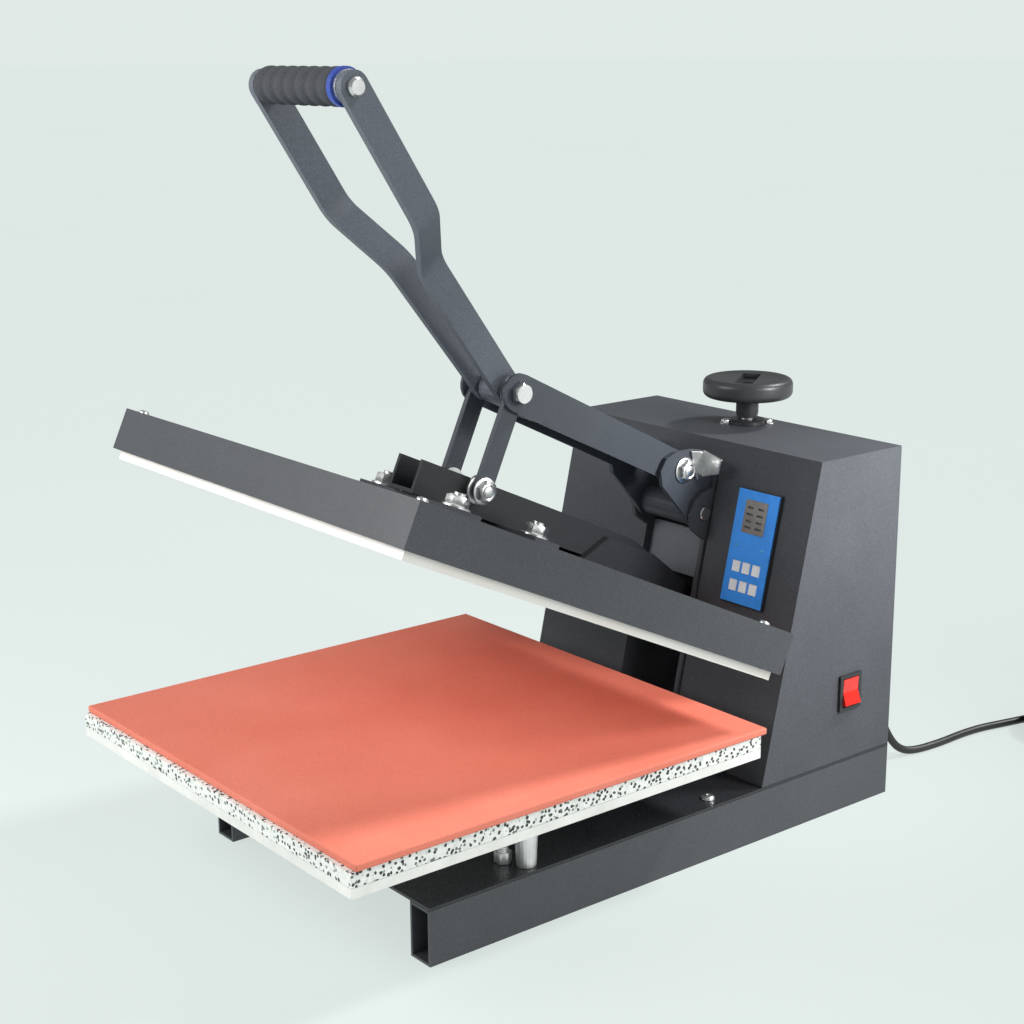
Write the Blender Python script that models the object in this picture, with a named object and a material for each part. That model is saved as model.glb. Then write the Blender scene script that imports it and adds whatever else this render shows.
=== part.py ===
"""Clamshell heat press, modelled as an assembly of separate parts.

Units are metres. +X is the right-hand side for someone standing at the front, +Y points to the
back and +Z is up. The origin is on the bench, under the middle of the press.
The press stands open. The upper platen, the lever and the links are drawn about their own pivots.
"""
import math

import bmesh
import bpy
from mathutils import Matrix, Vector

# ---------------------------------------------------------------- driving dimensions
GAP = 0.0003                      # space between parts that touch

FRONT_Y = -0.2906                 # front edge of the lower board
BACK_Y = 0.2906                   # back of the housing and the rails

# base frame
BASE_HALF_X = 0.147
RAIL_WIDTH = 0.023
RAIL_TOP_Z = 0.0427
RAIL_WALL = 0.002
RAIL_FRONT_Y = -0.199
BASE_PLATE_Z = (RAIL_TOP_Z + GAP, 0.0452)
BOTTOM_GAP_Z = BASE_PLATE_Z[1] + GAP

# lower platen, from bottom to top
LOWER_PLATE_Z = (0.0968, 0.1041)
BOARD_Z = (0.1044, 0.1148)
PAD_Z = (0.1151, 0.1205)
BOARD_HALF_X = 0.1887
BOARD_DEPTH = 0.378
PAD_SIZE = 0.380
PAD_FRONT_Y = -0.2873
FRONT_POST = (0.1355, -0.1019)
REAR_BRACKET = (0.070, 0.0300)     # half width, front face
POST_RADIUS = 0.0088
LEVELLING_STUD = (0.121, -0.1123)

# housing, a folded sheet with a sloping front
HOUSING_FRONT_BOTTOM = (0.1351, 0.0455)
HOUSING_FRONT_TOP = (0.1936, 0.3069)
HOUSING_SHEET = 0.0018
SLOT_HALF_X = 0.0389
SLOT_Z = (0.082, 0.2885)

# linkage pivots, as (y, z)
PLATEN_PIVOT = (0.1781, 0.1348)
YOKE_PIVOT = (0.1730, 0.2470)
LEVER_PIVOT = (0.1535, 0.2863)
ELBOW = (-0.0185, 0.3717)
GRIP_AXIS = (-0.1832, 0.6026)
LINK_PIN_CLOSED = (-0.0994, 0.1873)
OPEN_ANGLE = math.radians(24.87)  # how far the upper platen stands open

# planes of the linkage, as distances from the middle
CHANNEL_HALF_X = 0.0155
LINK_X = (0.0196, 0.0244)
ARM_X = (0.0247, 0.0277)
YOKE_X = (0.0283, 0.0323)
MAST_X = (0.0330, 0.0370)

# upper platen when it is closed
COVER_HALF_X = 0.19585
COVER_DEPTH = 0.3834
COVER_FRONT_Y = -0.2890
COVER_Z = (0.1273, 0.1603)
COVER_SHEET = 0.0015
HEAT_PLATE_Z = (0.1208, 0.1348)
HEAT_PLATE_INSET = 0.0052
STRAP_Y = (-0.1373, -0.0543)

# pressure screw and knob
SCREW_Y = 0.2600
KNOB_RADIUS = 0.039
KNOB_Z = (0.331, 0.348)
TRUNNION_Z = 0.262

# control panel, standing proud of the sloping front
PANEL_X = (0.0676, 0.1147)
PANEL_Z = (0.1803, 0.2740)
BUTTON_X = (0.0803, 0.0912, 0.1023)
BUTTON_Z = (0.2108, 0.1954)
BUTTON_SIZE = (0.0080, 0.0088)

# power switch on the right-hand side
SWITCH_CENTRE = (0.2367, 0.1050)
SWITCH_HALF = (0.0130, 0.0155)

# mains lead
CORD_RADIUS = 0.0035
GLAND = (0.096, 0.058)            # x, z on the back panel
GLAND_LENGTH = 0.0205
CORD_EXIT_Y = BACK_Y + GLAND_LENGTH
COIL_CENTRE = (0.1700, 0.5370)
COIL_RADII = (0.0310, 0.0460)
COIL_HEIGHT = 0.0212
PLUG_OFFSET = (0.034, 0.018)     # the plug's cable end, from the coil's centre
COIL_TURN_RADIUS = 0.0425        # of the outermost turn's centre line
CORD_ROUTE = (
    (0.0960, 0.3190, 0.0573),
    (0.0965, 0.3285, 0.0530),
    (0.0975, 0.3375, 0.0440),
    (0.0985, 0.3450, 0.0320),
    (0.1000, 0.3520, 0.0200),
    (0.1020, 0.3600, 0.0105),
    (0.1045, 0.3700, 0.0052),
    (0.1075, 0.3830, CORD_RADIUS + GAP),
    (0.1095, 0.4000, CORD_RADIUS + GAP),
    (0.1100, 0.4180, CORD_RADIUS + GAP),
    (0.1095, 0.4360, CORD_RADIUS + GAP),
    (0.1098, 0.4540, CORD_RADIUS + GAP),
    (0.1120, 0.4740, CORD_RADIUS + GAP),
)

# colours as (red, green, blue, roughness, metallic)
POWDER_COAT = (0.075, 0.080, 0.088, 0.55, 0.0)
HANDLE_PAINT = (0.105, 0.115, 0.135, 0.45, 0.0)
ZINC = (0.78, 0.79, 0.80, 0.28, 1.0)
CREAM_PAINT = (0.80, 0.78, 0.70, 0.50, 0.0)
SPECKLED_BOARD = (0.72, 0.72, 0.66, 0.70, 0.0)
SILICONE = (0.72, 0.15, 0.09, 0.60, 0.0)
FOAM = (0.055, 0.058, 0.062, 0.85, 0.0)
BLUE_PLASTIC = (0.03, 0.09, 0.45, 0.40, 0.0)
BLACK_PLASTIC = (0.020, 0.020, 0.022, 0.45, 0.0)
PANEL_BLUE = (0.05, 0.28, 0.80, 0.35, 0.0)
BUTTON_WHITE = (0.85, 0.90, 0.93, 0.40, 0.0)
SWITCH_RED = (0.70, 0.03, 0.02, 0.20, 0.0)
STEEL = (0.45, 0.46, 0.47, 0.35, 1.0)
ALUMINIUM = (0.80, 0.79, 0.76, 0.45, 0.6)
INSULATION = (0.82, 0.79, 0.68, 0.90, 0.0)
BOARD_GREEN = (0.03, 0.22, 0.10, 0.50, 0.0)
RUBBER = (0.018, 0.018, 0.019, 0.60, 0.0)


# ---------------------------------------------------------------- modelling helpers
def clear_scene():
    for found in list(bpy.data.objects):
        bpy.data.objects.remove(found, do_unlink=True)


def material(name, look):
    made = bpy.data.materials.new(name)
    made.use_nodes = True
    shader = made.node_tree.nodes["Principled BSDF"]
    shader.inputs["Base Color"].default_value = (look[0], look[1], look[2], 1.0)
    shader.inputs["Roughness"].default_value = look[3]
    shader.inputs["Metallic"].default_value = look[4]
    made.diffuse_color = (look[0], look[1], look[2], 1.0)
    return made


def pivot_empty(name, y, z, tilt=0.0, x=0.0):
    """An empty on a joint's axis. What is parented to it is drawn in the pose without the tilt."""
    empty = bpy.data.objects.new(name, None)
    empty.location = (x, y, z)
    empty.rotation_euler = (tilt, 0.0, 0.0)
    bpy.context.collection.objects.link(empty)
    return empty


def finish(name, bm, look, pivot=None, smooth=False):
    """Turn a bmesh in world coordinates into a named object, moved onto its pivot if it has one."""
    bmesh.ops.recalc_face_normals(bm, faces=bm.faces[:])
    origin = Vector((0.0, 0.0, 0.0))
    if pivot is not None:
        origin = Vector(pivot.location)
        bmesh.ops.translate(bm, verts=bm.verts[:], vec=-origin)
    mesh = bpy.data.meshes.new(name)
    bm.to_mesh(mesh)
    bm.free()
    made = bpy.data.objects.new(name, mesh)
    bpy.context.collection.objects.link(made)
    mesh.materials.append(material(name, look))
    if pivot is not None:
        made.parent = pivot
    if smooth:
        mesh.shade_smooth()
        mesh.set_sharp_from_angle(angle=math.radians(40))
    return made


def loft(bm, rings, closed=False):
    """Skin rings of equal length. Open lofts get end caps; closed ones join the last to the first."""
    rows = [[bm.verts.new(p) for p in ring] for ring in rings]
    count = len(rows[0])
    pairs = list(zip(rows, rows[1:]))
    if closed:
        pairs.append((rows[-1], rows[0]))
    for low, high in pairs:
        for i in range(count):
            j = (i + 1) % count
            bm.faces.new((low[i], low[j], high[j], high[i]))
    if not closed:
        bm.faces.new(rows[0])
        bm.faces.new(rows[-1])


def box(bm, low, high):
    corners = [(low[0], low[1]), (high[0], low[1]), (high[0], high[1]), (low[0], high[1])]
    loft(bm, [[(x, y, z) for x, y in corners] for z in (low[2], high[2])])


def prism(bm, outline, x_low, x_high):
    """Extrude a (y, z) outline along X."""
    loft(bm, [[(x, y, z) for y, z in outline] for x in (x_low, x_high)])


def ring_points(centre, radius, axis, count, hexagon=False):
    """Points of a circle, or of a hexagon with the same count, square to the axis."""
    turn = Vector((0, 0, 1)).rotation_difference(Vector(axis).normalized())
    points = []
    for i in range(count):
        angle = 2 * math.pi * i / count
        reach = radius
        if hexagon:
            within = math.fmod(angle, math.pi / 3) - math.pi / 6
            reach = radius * math.cos(math.pi / 6) / math.cos(within)
        flat = Vector((reach * math.cos(angle), reach * math.sin(angle), 0.0))
        points.append(Vector(centre) + turn @ flat)
    return points


def turned(bm, start, axis, profile, count=24, closed=False):
    """Turn a profile of (height, radius) or (height, radius, "hex") about an axis."""
    direction = Vector(axis).normalized()
    rings = []
    for station in profile:
        centre = Vector(start) + direction * station[0]
        rings.append(ring_points(centre, station[1], axis, count, len(station) == 3))
    loft(bm, rings, closed)


def cylinder(bm, start, end, radius, count=24):
    length = (Vector(end) - Vector(start)).length
    turned(bm, start, Vector(end) - Vector(start), [(0, radius), (length, radius)], count)


def washer(bm, x_low, x_high, centre, inner, outer, count=24):
    profile = [(0, inner), (0, outer), (x_high - x_low, outer), (x_high - x_low, inner)]
    turned(bm, (x_low, centre[0], centre[1]), (1, 0, 0), profile, count, closed=True)


def cut(target, cutter_bm, name):
    """Take a shape out of an object with a Boolean."""
    return boolean(target, cutter_bm, name, "DIFFERENCE")


def join(target, extra_bm, name):
    return boolean(target, extra_bm, name, "UNION")


def boolean(target, bm, name, operation):
    bmesh.ops.recalc_face_normals(bm, faces=bm.faces[:])
    if target.parent is not None:
        bmesh.ops.translate(bm, verts=bm.verts[:], vec=-Vector(target.parent.location))
    mesh = bpy.data.meshes.new(name)
    bm.to_mesh(mesh)
    bm.free()
    tool = bpy.data.objects.new(name, mesh)
    bpy.context.collection.objects.link(tool)
    tool.parent = target.parent
    tool.hide_render = True
    tool.display_type = "WIRE"
    modifier = target.modifiers.new(name, "BOOLEAN")
    modifier.operation = operation
    modifier.solver = "EXACT"
    modifier.object = tool
    return target


def arc(centre, radius, start_deg, end_deg, steps):
    points = []
    for i in range(steps + 1):
        angle = math.radians(start_deg + (end_deg - start_deg) * i / steps)
        points.append((centre[0] + radius * math.cos(angle), centre[1] + radius * math.sin(angle)))
    return points


def along(start, end):
    """Length, direction angle in degrees, and unit direction between two (y, z) points."""
    dy, dz = end[0] - start[0], end[1] - start[1]
    length = math.hypot(dy, dz)
    return length, math.degrees(math.atan2(dz, dy)), (dy / length, dz / length)


def bar_outline(start, end, start_radius, end_radius, steps=8):
    """Side view of a flat bar with round ends about two pivots."""
    heading = along(start, end)[1]
    outline = arc(start, start_radius, heading + 90, heading + 270, steps)
    return outline + arc(end, end_radius, heading - 90, heading + 90, steps)


def turn_about(point, centre, angle):
    dy, dz = point[0] - centre[0], point[1] - centre[1]
    c, s = math.cos(angle), math.sin(angle)
    return (centre[0] + dy * c - dz * s, centre[1] + dy * s + dz * c)


def bolt(bm, x_face, centre, side, head=0.0064, corner=0.0088, shank=0.005, shank_end=0.0, count=24):
    """Hex-headed bolt along X. side is +1 or -1; the shank runs from the face to shank_end."""
    reach = abs(x_face - shank_end)
    profile = [(0, shank), (reach, shank), (reach, corner, "hex"), (reach + head * 0.8, corner, "hex")]
    profile += [(reach + head, corner * 0.82)]
    turned(bm, (shank_end, centre[0], centre[1]), (side, 0, 0), profile, count)


# ---------------------------------------------------------------- sloping front of the housing
FRONT_SLOPE = (HOUSING_FRONT_TOP[0] - HOUSING_FRONT_BOTTOM[0]) / (
    HOUSING_FRONT_TOP[1] - HOUSING_FRONT_BOTTOM[1])
FRONT_TILT = math.atan(FRONT_SLOPE)


def front_y(z):
    """Y of the housing's outer front face at a height."""
    return HOUSING_FRONT_BOTTOM[0] + (z - HOUSING_FRONT_BOTTOM[1]) * FRONT_SLOPE


def front_slab(bm, x_range, z_range, proud_range):
    """A box lying on the sloping front: proud_range is its distance in front of the sheet."""
    rings = []
    for proud in proud_range:
        ring = []
        for x, z in ((x_range[0], z_range[0]), (x_range[1], z_range[0]),
                     (x_range[1], z_range[1]), (x_range[0], z_range[1])):
            y = front_y(z) - proud * math.cos(FRONT_TILT)
            ring.append((x, y, z + proud * math.sin(FRONT_TILT)))
        rings.append(ring)
    loft(bm, rings)


# ---------------------------------------------------------------- base frame
def build_rail(name, side):
    bm = bmesh.new()
    outer, inner = side * BASE_HALF_X, side * (BASE_HALF_X - RAIL_WIDTH)
    x_low, x_high = min(outer, inner), max(outer, inner)
    w = RAIL_WALL
    rings = []
    for y, inset in ((RAIL_FRONT_Y, 0), (BACK_Y, 0), (BACK_Y, w), (RAIL_FRONT_Y, w)):
        rings.append([
            (x_low + inset, y, inset), (x_high - inset, y, inset),
            (x_high - inset, y, RAIL_TOP_Z - inset), (x_low + inset, y, RAIL_TOP_Z - inset)])
    loft(bm, rings, closed=True)
    return finish(name, bm, POWDER_COAT)


def build_base_plate():
    bm = bmesh.new()
    box(bm, (-BASE_HALF_X, RAIL_FRONT_Y, BASE_PLATE_Z[0]), (BASE_HALF_X, BACK_Y, BASE_PLATE_Z[1]))
    return finish("base_plate", bm, POWDER_COAT)


def build_platen_supports():
    """Two round posts at the front and a folded bracket at the rear hold up the lower platen."""
    top = LOWER_PLATE_Z[0] - GAP
    profile = [(0, POST_RADIUS * 0.86), (top - BOTTOM_GAP_Z, POST_RADIUS * 1.10)]
    for name, side in (("front_post_left", -1), ("front_post_right", 1)):
        bm = bmesh.new()
        turned(bm, (side * FRONT_POST[0], FRONT_POST[1], BOTTOM_GAP_Z), (0, 0, 1), profile, 20)
        finish(name, bm, ZINC, smooth=True)
    bm = bmesh.new()
    reach, depth, sheet = REAR_BRACKET[0], 0.030, 0.003
    outline = [(-reach, BOTTOM_GAP_Z), (-reach, top), (reach, top), (reach, BOTTOM_GAP_Z),
               (reach - sheet, BOTTOM_GAP_Z), (reach - sheet, top - sheet), (sheet - reach, top - sheet),
               (sheet - reach, BOTTOM_GAP_Z)]
    y = REAR_BRACKET[1]
    loft(bm, [[(x, y_end, z) for x, z in outline] for y_end in (y, y + depth)])
    finish("rear_bracket", bm, POWDER_COAT)


def add_levelling_studs(plate):
    """Studs welded under the lower plate, each with a nut that stands on the base plate."""
    stud = [(0, 0.0064, "hex"), (0.0085, 0.0064, "hex"), (0.0085, 0.0038)]
    stud += [(LOWER_PLATE_Z[0] + 0.002 - BOTTOM_GAP_Z, 0.0038)]
    for side in (-1, 1):
        bm = bmesh.new()
        turned(bm, (side * LEVELLING_STUD[0], LEVELLING_STUD[1], BOTTOM_GAP_Z), (0, 0, 1), stud, 12)
        join(plate, bm, f"stud_{side}")


def build_lower_platen():
    for name, z_range, look in (("lower_plate", LOWER_PLATE_Z, CREAM_PAINT),
                                ("platen_board", BOARD_Z, SPECKLED_BOARD)):
        bm = bmesh.new()
        box(bm, (-BOARD_HALF_X, FRONT_Y, z_range[0]), (BOARD_HALF_X, FRONT_Y + BOARD_DEPTH, z_range[1]))
        made = finish(name, bm, look)
        if name == "lower_plate":
            add_levelling_studs(made)
    bm = bmesh.new()
    half = PAD_SIZE / 2
    box(bm, (-half, PAD_FRONT_Y, PAD_Z[0]), (half, PAD_FRONT_Y + PAD_SIZE, PAD_Z[1]))
    pad = finish("silicone_pad", bm, SILICONE)
    rounding = pad.modifiers.new("rounding", "BEVEL")
    rounding.width = 0.0012
    rounding.segments = 2


# ---------------------------------------------------------------- housing and mast
def build_housing_shell():
    bm = bmesh.new()
    t = HOUSING_SHEET
    outline = [HOUSING_FRONT_BOTTOM, HOUSING_FRONT_TOP, (BACK_Y, HOUSING_FRONT_TOP[1]),
               (BACK_Y, HOUSING_FRONT_BOTTOM[1])]
    prism(bm, outline, -BASE_HALF_X, BASE_HALF_X)
    shell = finish("housing_shell", bm, POWDER_COAT)
    shift = t / math.cos(FRONT_TILT)
    inside = HOUSING_FRONT_TOP[1] - t
    past_z = HOUSING_FRONT_BOTTOM[1] - 0.02
    hollow = [(front_y(past_z) + shift, past_z), (front_y(inside) + shift, inside),
              (BACK_Y + 0.02, inside), (BACK_Y + 0.02, past_z)]
    bm = bmesh.new()
    prism(bm, hollow, -BASE_HALF_X + t, BASE_HALF_X - t)
    cut(shell, bm, "cut_hollow")
    bm = bmesh.new()
    box(bm, (-SLOT_HALF_X, 0.10, SLOT_Z[0]), (SLOT_HALF_X, 0.22, SLOT_Z[1]))
    cut(shell, bm, "cut_slot")
    bm = bmesh.new()
    cylinder(bm, (0, SCREW_Y, 0.300), (0, SCREW_Y, 0.320), 0.0118)
    cut(shell, bm, "cut_screw_hole")
    bm = bmesh.new()
    y, z = SWITCH_CENTRE
    box(bm, (0.140, y - 0.0112, z - 0.0138), (0.150, y + 0.0112, z + 0.0138))
    cut(shell, bm, "cut_switch_hole")
    return shell


def build_back_panel():
    bm = bmesh.new()
    reach = BASE_HALF_X - HOUSING_SHEET - GAP
    top = HOUSING_FRONT_TOP[1] - HOUSING_SHEET - GAP
    box(bm, (-reach, BACK_Y - 0.0018, HOUSING_FRONT_BOTTOM[1] + 0.0010), (reach, BACK_Y, top))
    panel = finish("back_panel", bm, POWDER_COAT)
    bm = bmesh.new()
    for row in range(7):
        z = 0.150 + 0.012 * row
        box(bm, (-0.070, BACK_Y - 0.010, z), (0.070, BACK_Y + 0.010, z + 0.004))
    cut(panel, bm, "cut_vents")
    bm = bmesh.new()
    cylinder(bm, (GLAND[0], BACK_Y - 0.010, GLAND[1]), (GLAND[0], BACK_Y + 0.010, GLAND[1]), 0.0078, 20)
    cut(panel, bm, "cut_gland_hole")
    return panel


def build_mast_bracket():
    """U-shaped frame inside the housing. The front edges of its cheeks show in the slot."""
    bm = bmesh.new()
    proud = 0.002
    low = BOTTOM_GAP_Z
    outline = [
        (0.1400, low), (0.1484, SLOT_Z[0] + 0.001), (front_y(0.0832) - proud, 0.0832),
        (front_y(0.2240) - proud, 0.2240), (0.1600, 0.2340), (0.1570, 0.2470), (0.1610, 0.2585),
        (0.1700, 0.2650), (front_y(0.2680) - proud, 0.2680), (front_y(0.2870) - proud, 0.2870),
        (0.2000, 0.2870), (0.2060, 0.2980), (0.2840, 0.2980), (0.2840, low)]
    prism(bm, outline, MAST_X[0], MAST_X[1])
    mast = finish("mast_bracket", bm, POWDER_COAT)
    bm = bmesh.new()
    prism(bm, outline, -MAST_X[1], -MAST_X[0])
    join(mast, bm, "left_cheek_plate")
    bm = bmesh.new()
    box(bm, (-MAST_X[1] + 0.001, 0.1450, low), (MAST_X[1] - 0.001, 0.2840, low + 0.004))
    join(mast, bm, "mast_floor")
    bm = bmesh.new()
    reach = MAST_X[1] + 0.01
    cylinder(bm, (-reach, *PLATEN_PIVOT), (reach, *PLATEN_PIVOT), 0.0083)
    cylinder(bm, (-reach, *YOKE_PIVOT), (reach, *YOKE_PIVOT), 0.0063)
    cut(mast, bm, "cut_mast_holes")
    return mast


def build_mast_front_plate():
    bm = bmesh.new()
    reach = MAST_X[0] - GAP
    front_slab(bm, (-reach, reach), (0.1900, 0.2290), (-0.0090, -0.0060))
    return finish("mast_front_plate", bm, STEEL)


def build_screw_bridge():
    bm = bmesh.new()
    reach = MAST_X[0] - GAP
    box(bm, (-reach, 0.2480, 0.2850), (reach, 0.2780, 0.2960))
    bridge = finish("screw_bridge", bm, STEEL)
    bm = bmesh.new()
    cylinder(bm, (0, SCREW_Y, 0.280), (0, SCREW_Y, 0.300), 0.0063)
    cut(bridge, bm, "cut_bridge_hole")
    return bridge


def build_screw_bush():
    """Flanged bush where the pressure screw passes the top of the housing."""
    bm = bmesh.new()
    flange_z = HOUSING_FRONT_TOP[1] + GAP - 0.3010
    profile = [(0, 0.0070), (0, 0.0115), (flange_z, 0.0115), (flange_z, 0.0158), (flange_z + 0.0030, 0.0158),
               (flange_z + 0.0042, 0.0140), (flange_z + 0.0042, 0.0070)]
    turned(bm, (0, SCREW_Y, 0.3010), (0, 0, 1), profile, 28, closed=True)
    return finish("screw_bush", bm, ZINC, smooth=True)


# ---------------------------------------------------------------- pressure adjustment
def build_pressure_knob(pivot):
    bm = bmesh.new()
    low, high = KNOB_Z
    lip = 0.0045
    hub_low = 0.3130
    profile = [(hub_low, 0.0063), (hub_low, 0.0088), (hub_low + 0.004, 0.0098), (low - 0.001, 0.0098),
               (low, 0.0130), (low, KNOB_RADIUS - lip), (low + 0.0012, KNOB_RADIUS - 0.0015),
               (low + lip, KNOB_RADIUS), (high - lip, KNOB_RADIUS), (high - 0.0012, KNOB_RADIUS - 0.0015),
               (high, KNOB_RADIUS - lip), (high, 0.0063)]
    turned(bm, (0, SCREW_Y, 0), (0, 0, 1), profile, 40, closed=True)
    knob = finish("pressure_knob", bm, BLACK_PLASTIC, pivot, smooth=True)
    bm = bmesh.new()
    turn = Matrix.Rotation(math.radians(35), 4, "Z")
    box(bm, (-0.008, -0.026, high - 0.0055), (0.008, 0.026, high + 0.01))
    bmesh.ops.transform(bm, matrix=Matrix.Translation((0, SCREW_Y, 0)) @ turn, verts=bm.verts[:])
    cut(knob, bm, "cut_knob_recess")
    return knob


def build_pressure_screw(pivot):
    bm = bmesh.new()
    profile = [(0.2180, 0.0048), (0.2195, 0.0060), (0.2800, 0.0060), (0.2800, 0.0090), (0.2847, 0.0090),
               (0.2847, 0.0060), (0.2963, 0.0060), (0.2963, 0.0085), (0.2998, 0.0085), (0.2998, 0.0060),
               (0.3395, 0.0060)]
    turned(bm, (0, SCREW_Y, 0), (0, 0, 1), profile, 20)
    return finish("pressure_screw", bm, ZINC, pivot, smooth=True)


def build_pressure_yoke(pivot):
    bm = bmesh.new()
    outline = [(0.1265, 0.2890), (0.1330, 0.2990), (0.1440, 0.3030), (0.1640, 0.3025), (0.1760, 0.3000),
               (0.1800, 0.2850), (0.2140, 0.2830), (0.2620, 0.2755), (0.2750, 0.2720), (0.2785, 0.2620),
               (0.2750, 0.2520), (0.2620, 0.2485), (0.2140, 0.2400), (0.1860, 0.2325), (0.1730, 0.2320),
               (0.1620, 0.2365), (0.1540, 0.2480), (0.1400, 0.2640), (0.1290, 0.2760)]
    prism(bm, outline, YOKE_X[0], YOKE_X[1])
    yoke = finish("pressure_yoke", bm, STEEL, pivot)
    bm = bmesh.new()
    prism(bm, outline, -YOKE_X[1], -YOKE_X[0])
    join(yoke, bm, "left_cheek")
    bm = bmesh.new()
    reach = YOKE_X[0] + 0.001
    cylinder(bm, (-reach, *YOKE_PIVOT), (reach, *YOKE_PIVOT), 0.0125)
    join(yoke, bm, "yoke_boss")
    bm = bmesh.new()
    reach = YOKE_X[1] + 0.01
    cylinder(bm, (-reach, *YOKE_PIVOT), (reach, *YOKE_PIVOT), 0.0063)
    cylinder(bm, (-reach, *LEVER_PIVOT), (reach, *LEVER_PIVOT), 0.0053)
    cylinder(bm, (-reach, SCREW_Y, TRUNNION_Z), (reach, SCREW_Y, TRUNNION_Z), 0.0053)
    cut(yoke, bm, "cut_yoke_holes")
    return yoke


def build_trunnion_nut(pivot):
    """Barrel nut between the yoke's cheeks; the pressure screw passes through it."""
    bm = bmesh.new()
    reach, stub = YOKE_X[0] - GAP, YOKE_X[1] + 0.0004
    profile = [(-stub, 0.0050), (-reach, 0.0050), (-reach, 0.0105), (reach, 0.0105), (reach, 0.0050),
               (stub, 0.0050)]
    turned(bm, (0, SCREW_Y, TRUNNION_Z), (1, 0, 0), profile, 24)
    nut = finish("trunnion_nut", bm, ZINC, pivot, smooth=True)
    bm = bmesh.new()
    cylinder(bm, (0, SCREW_Y, TRUNNION_Z - 0.02), (0, SCREW_Y, TRUNNION_Z + 0.02), 0.0072)
    cut(nut, bm, "cut_nut_bore")
    return nut


def build_fulcrum_pin():
    bm = bmesh.new()
    reach = MAST_X[1] + 0.0012
    profile = [(-reach - 0.0008, 0.0052), (-reach, 0.0060), (reach, 0.0060), (reach + 0.0008, 0.0052)]
    turned(bm, (0, *YOKE_PIVOT), (1, 0, 0), profile, 20)
    return finish("fulcrum_pin", bm, ZINC, smooth=True)


def build_lever_pivot_bolt(pivot):
    """Bolt through the yoke and the lever arm, with a hex head on each side."""
    bm = bmesh.new()
    face = YOKE_X[1] + GAP
    corner, head = 0.0090, 0.0062
    profile = [(-face - head, corner * 0.82), (-face - head * 0.8, corner, "hex"), (-face, corner, "hex"),
               (-face, 0.0050), (face, 0.0050), (face, corner, "hex"), (face + head * 0.8, corner, "hex"),
               (face + head, corner * 0.82)]
    turned(bm, (0, *LEVER_PIVOT), (1, 0, 0), profile, 24)
    return finish("lever_pivot_bolt", bm, ZINC, pivot)


# ---------------------------------------------------------------- platen hinge
def build_hinge_shaft():
    bm = bmesh.new()
    face, end = MAST_X[1] + GAP, MAST_X[1] + 0.0075
    profile = [(-end, 0.0105, "hex"), (-face, 0.0105, "hex"), (-face, 0.0080), (face, 0.0080),
               (face, 0.0105, "hex"), (end, 0.0105, "hex")]
    turned(bm, (0, *PLATEN_PIVOT), (1, 0, 0), profile, 24)
    return finish("hinge_shaft", bm, ZINC)


def build_torsion_spring():
    """A coil beside the left hinge lug that carries part of the upper platen's weight."""
    bm = bmesh.new()
    wire, coil_radius, turns = 0.0013, 0.0108, 2.5
    steps = 40
    x_low, x_high = 0.0222 + wire + GAP, MAST_X[0] - wire - 2 * GAP
    rings = []
    for i in range(steps + 1):
        angle = 2 * math.pi * turns * i / steps
        centre = Vector((-x_low - (x_high - x_low) * i / steps,
                         PLATEN_PIVOT[0] + coil_radius * math.cos(angle),
                         PLATEN_PIVOT[1] + coil_radius * math.sin(angle)))
        outward = Vector((0, math.cos(angle), math.sin(angle)))
        rings.append([centre + wire * (outward * math.cos(a) + Vector((1, 0, 0)) * math.sin(a))
                      for a in [math.pi * k / 3 for k in range(6)]])
    loft(bm, rings)
    return finish("hinge_spring", bm, STEEL)


# ---------------------------------------------------------------- lever and handle
ARM_LENGTH, ARM_HEADING, ARM_ALONG = along(ELBOW, LEVER_PIVOT)


def arm_point(distance, height):
    """A (y, z) point given along the arm from the elbow, and above its centre line."""
    return (ELBOW[0] + ARM_ALONG[0] * distance - ARM_ALONG[1] * height,
            ELBOW[1] + ARM_ALONG[1] * distance + ARM_ALONG[0] * height)


def build_lever_arm(pivot):
    """Folded channel: two cheeks with a web along the top."""
    bm = bmesh.new()
    outline = bar_outline(ELBOW, LEVER_PIVOT, 0.015, 0.0135, 10)
    prism(bm, outline, -ARM_X[1], ARM_X[1])
    arm = finish("lever_arm", bm, HANDLE_PAINT, pivot)
    bm = bmesh.new()
    hollow = [arm_point(-0.03, -0.03), arm_point(0.23, -0.03), arm_point(0.23, 0.0115),
              arm_point(0.024, 0.0120), arm_point(0.024, 0.03), arm_point(-0.03, 0.03)]
    prism(bm, hollow, -ARM_X[0], ARM_X[0])
    cut(arm, bm, "cut_arm_channel")
    bm = bmesh.new()
    reach = ARM_X[1] + 0.01
    cylinder(bm, (-reach, *LEVER_PIVOT), (reach, *LEVER_PIVOT), 0.0053)
    cylinder(bm, (-reach, *ELBOW), (reach, *ELBOW), 0.0053)
    cut(arm, bm, "cut_arm_holes")
    return arm


def build_handle_block(pivot):
    """Solid block between the handle bars that ties them into the arm, behind the elbow."""
    bm = bmesh.new()
    nose = arc(ELBOW, 0.0112, ARM_HEADING + 90, ARM_HEADING + 270, 8)
    outline = nose + [arm_point(0.050, -0.0112), arm_point(0.050, 0.0112)]
    prism(bm, outline, -0.0096, 0.0096)
    block = finish("handle_block", bm, HANDLE_PAINT, pivot)
    bm = bmesh.new()
    wide = [arm_point(0.0285, -0.0110), arm_point(0.0480, -0.0110), arm_point(0.0480, 0.0110),
            arm_point(0.0285, 0.0110)]
    reach = ARM_X[0] - GAP
    prism(bm, wide, -reach, reach)
    join(block, bm, "block_shoulders")
    bm = bmesh.new()
    cylinder(bm, (-0.03, *ELBOW), (0.03, *ELBOW), 0.0053)
    cut(block, bm, "cut_block_hole")
    return block


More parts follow.
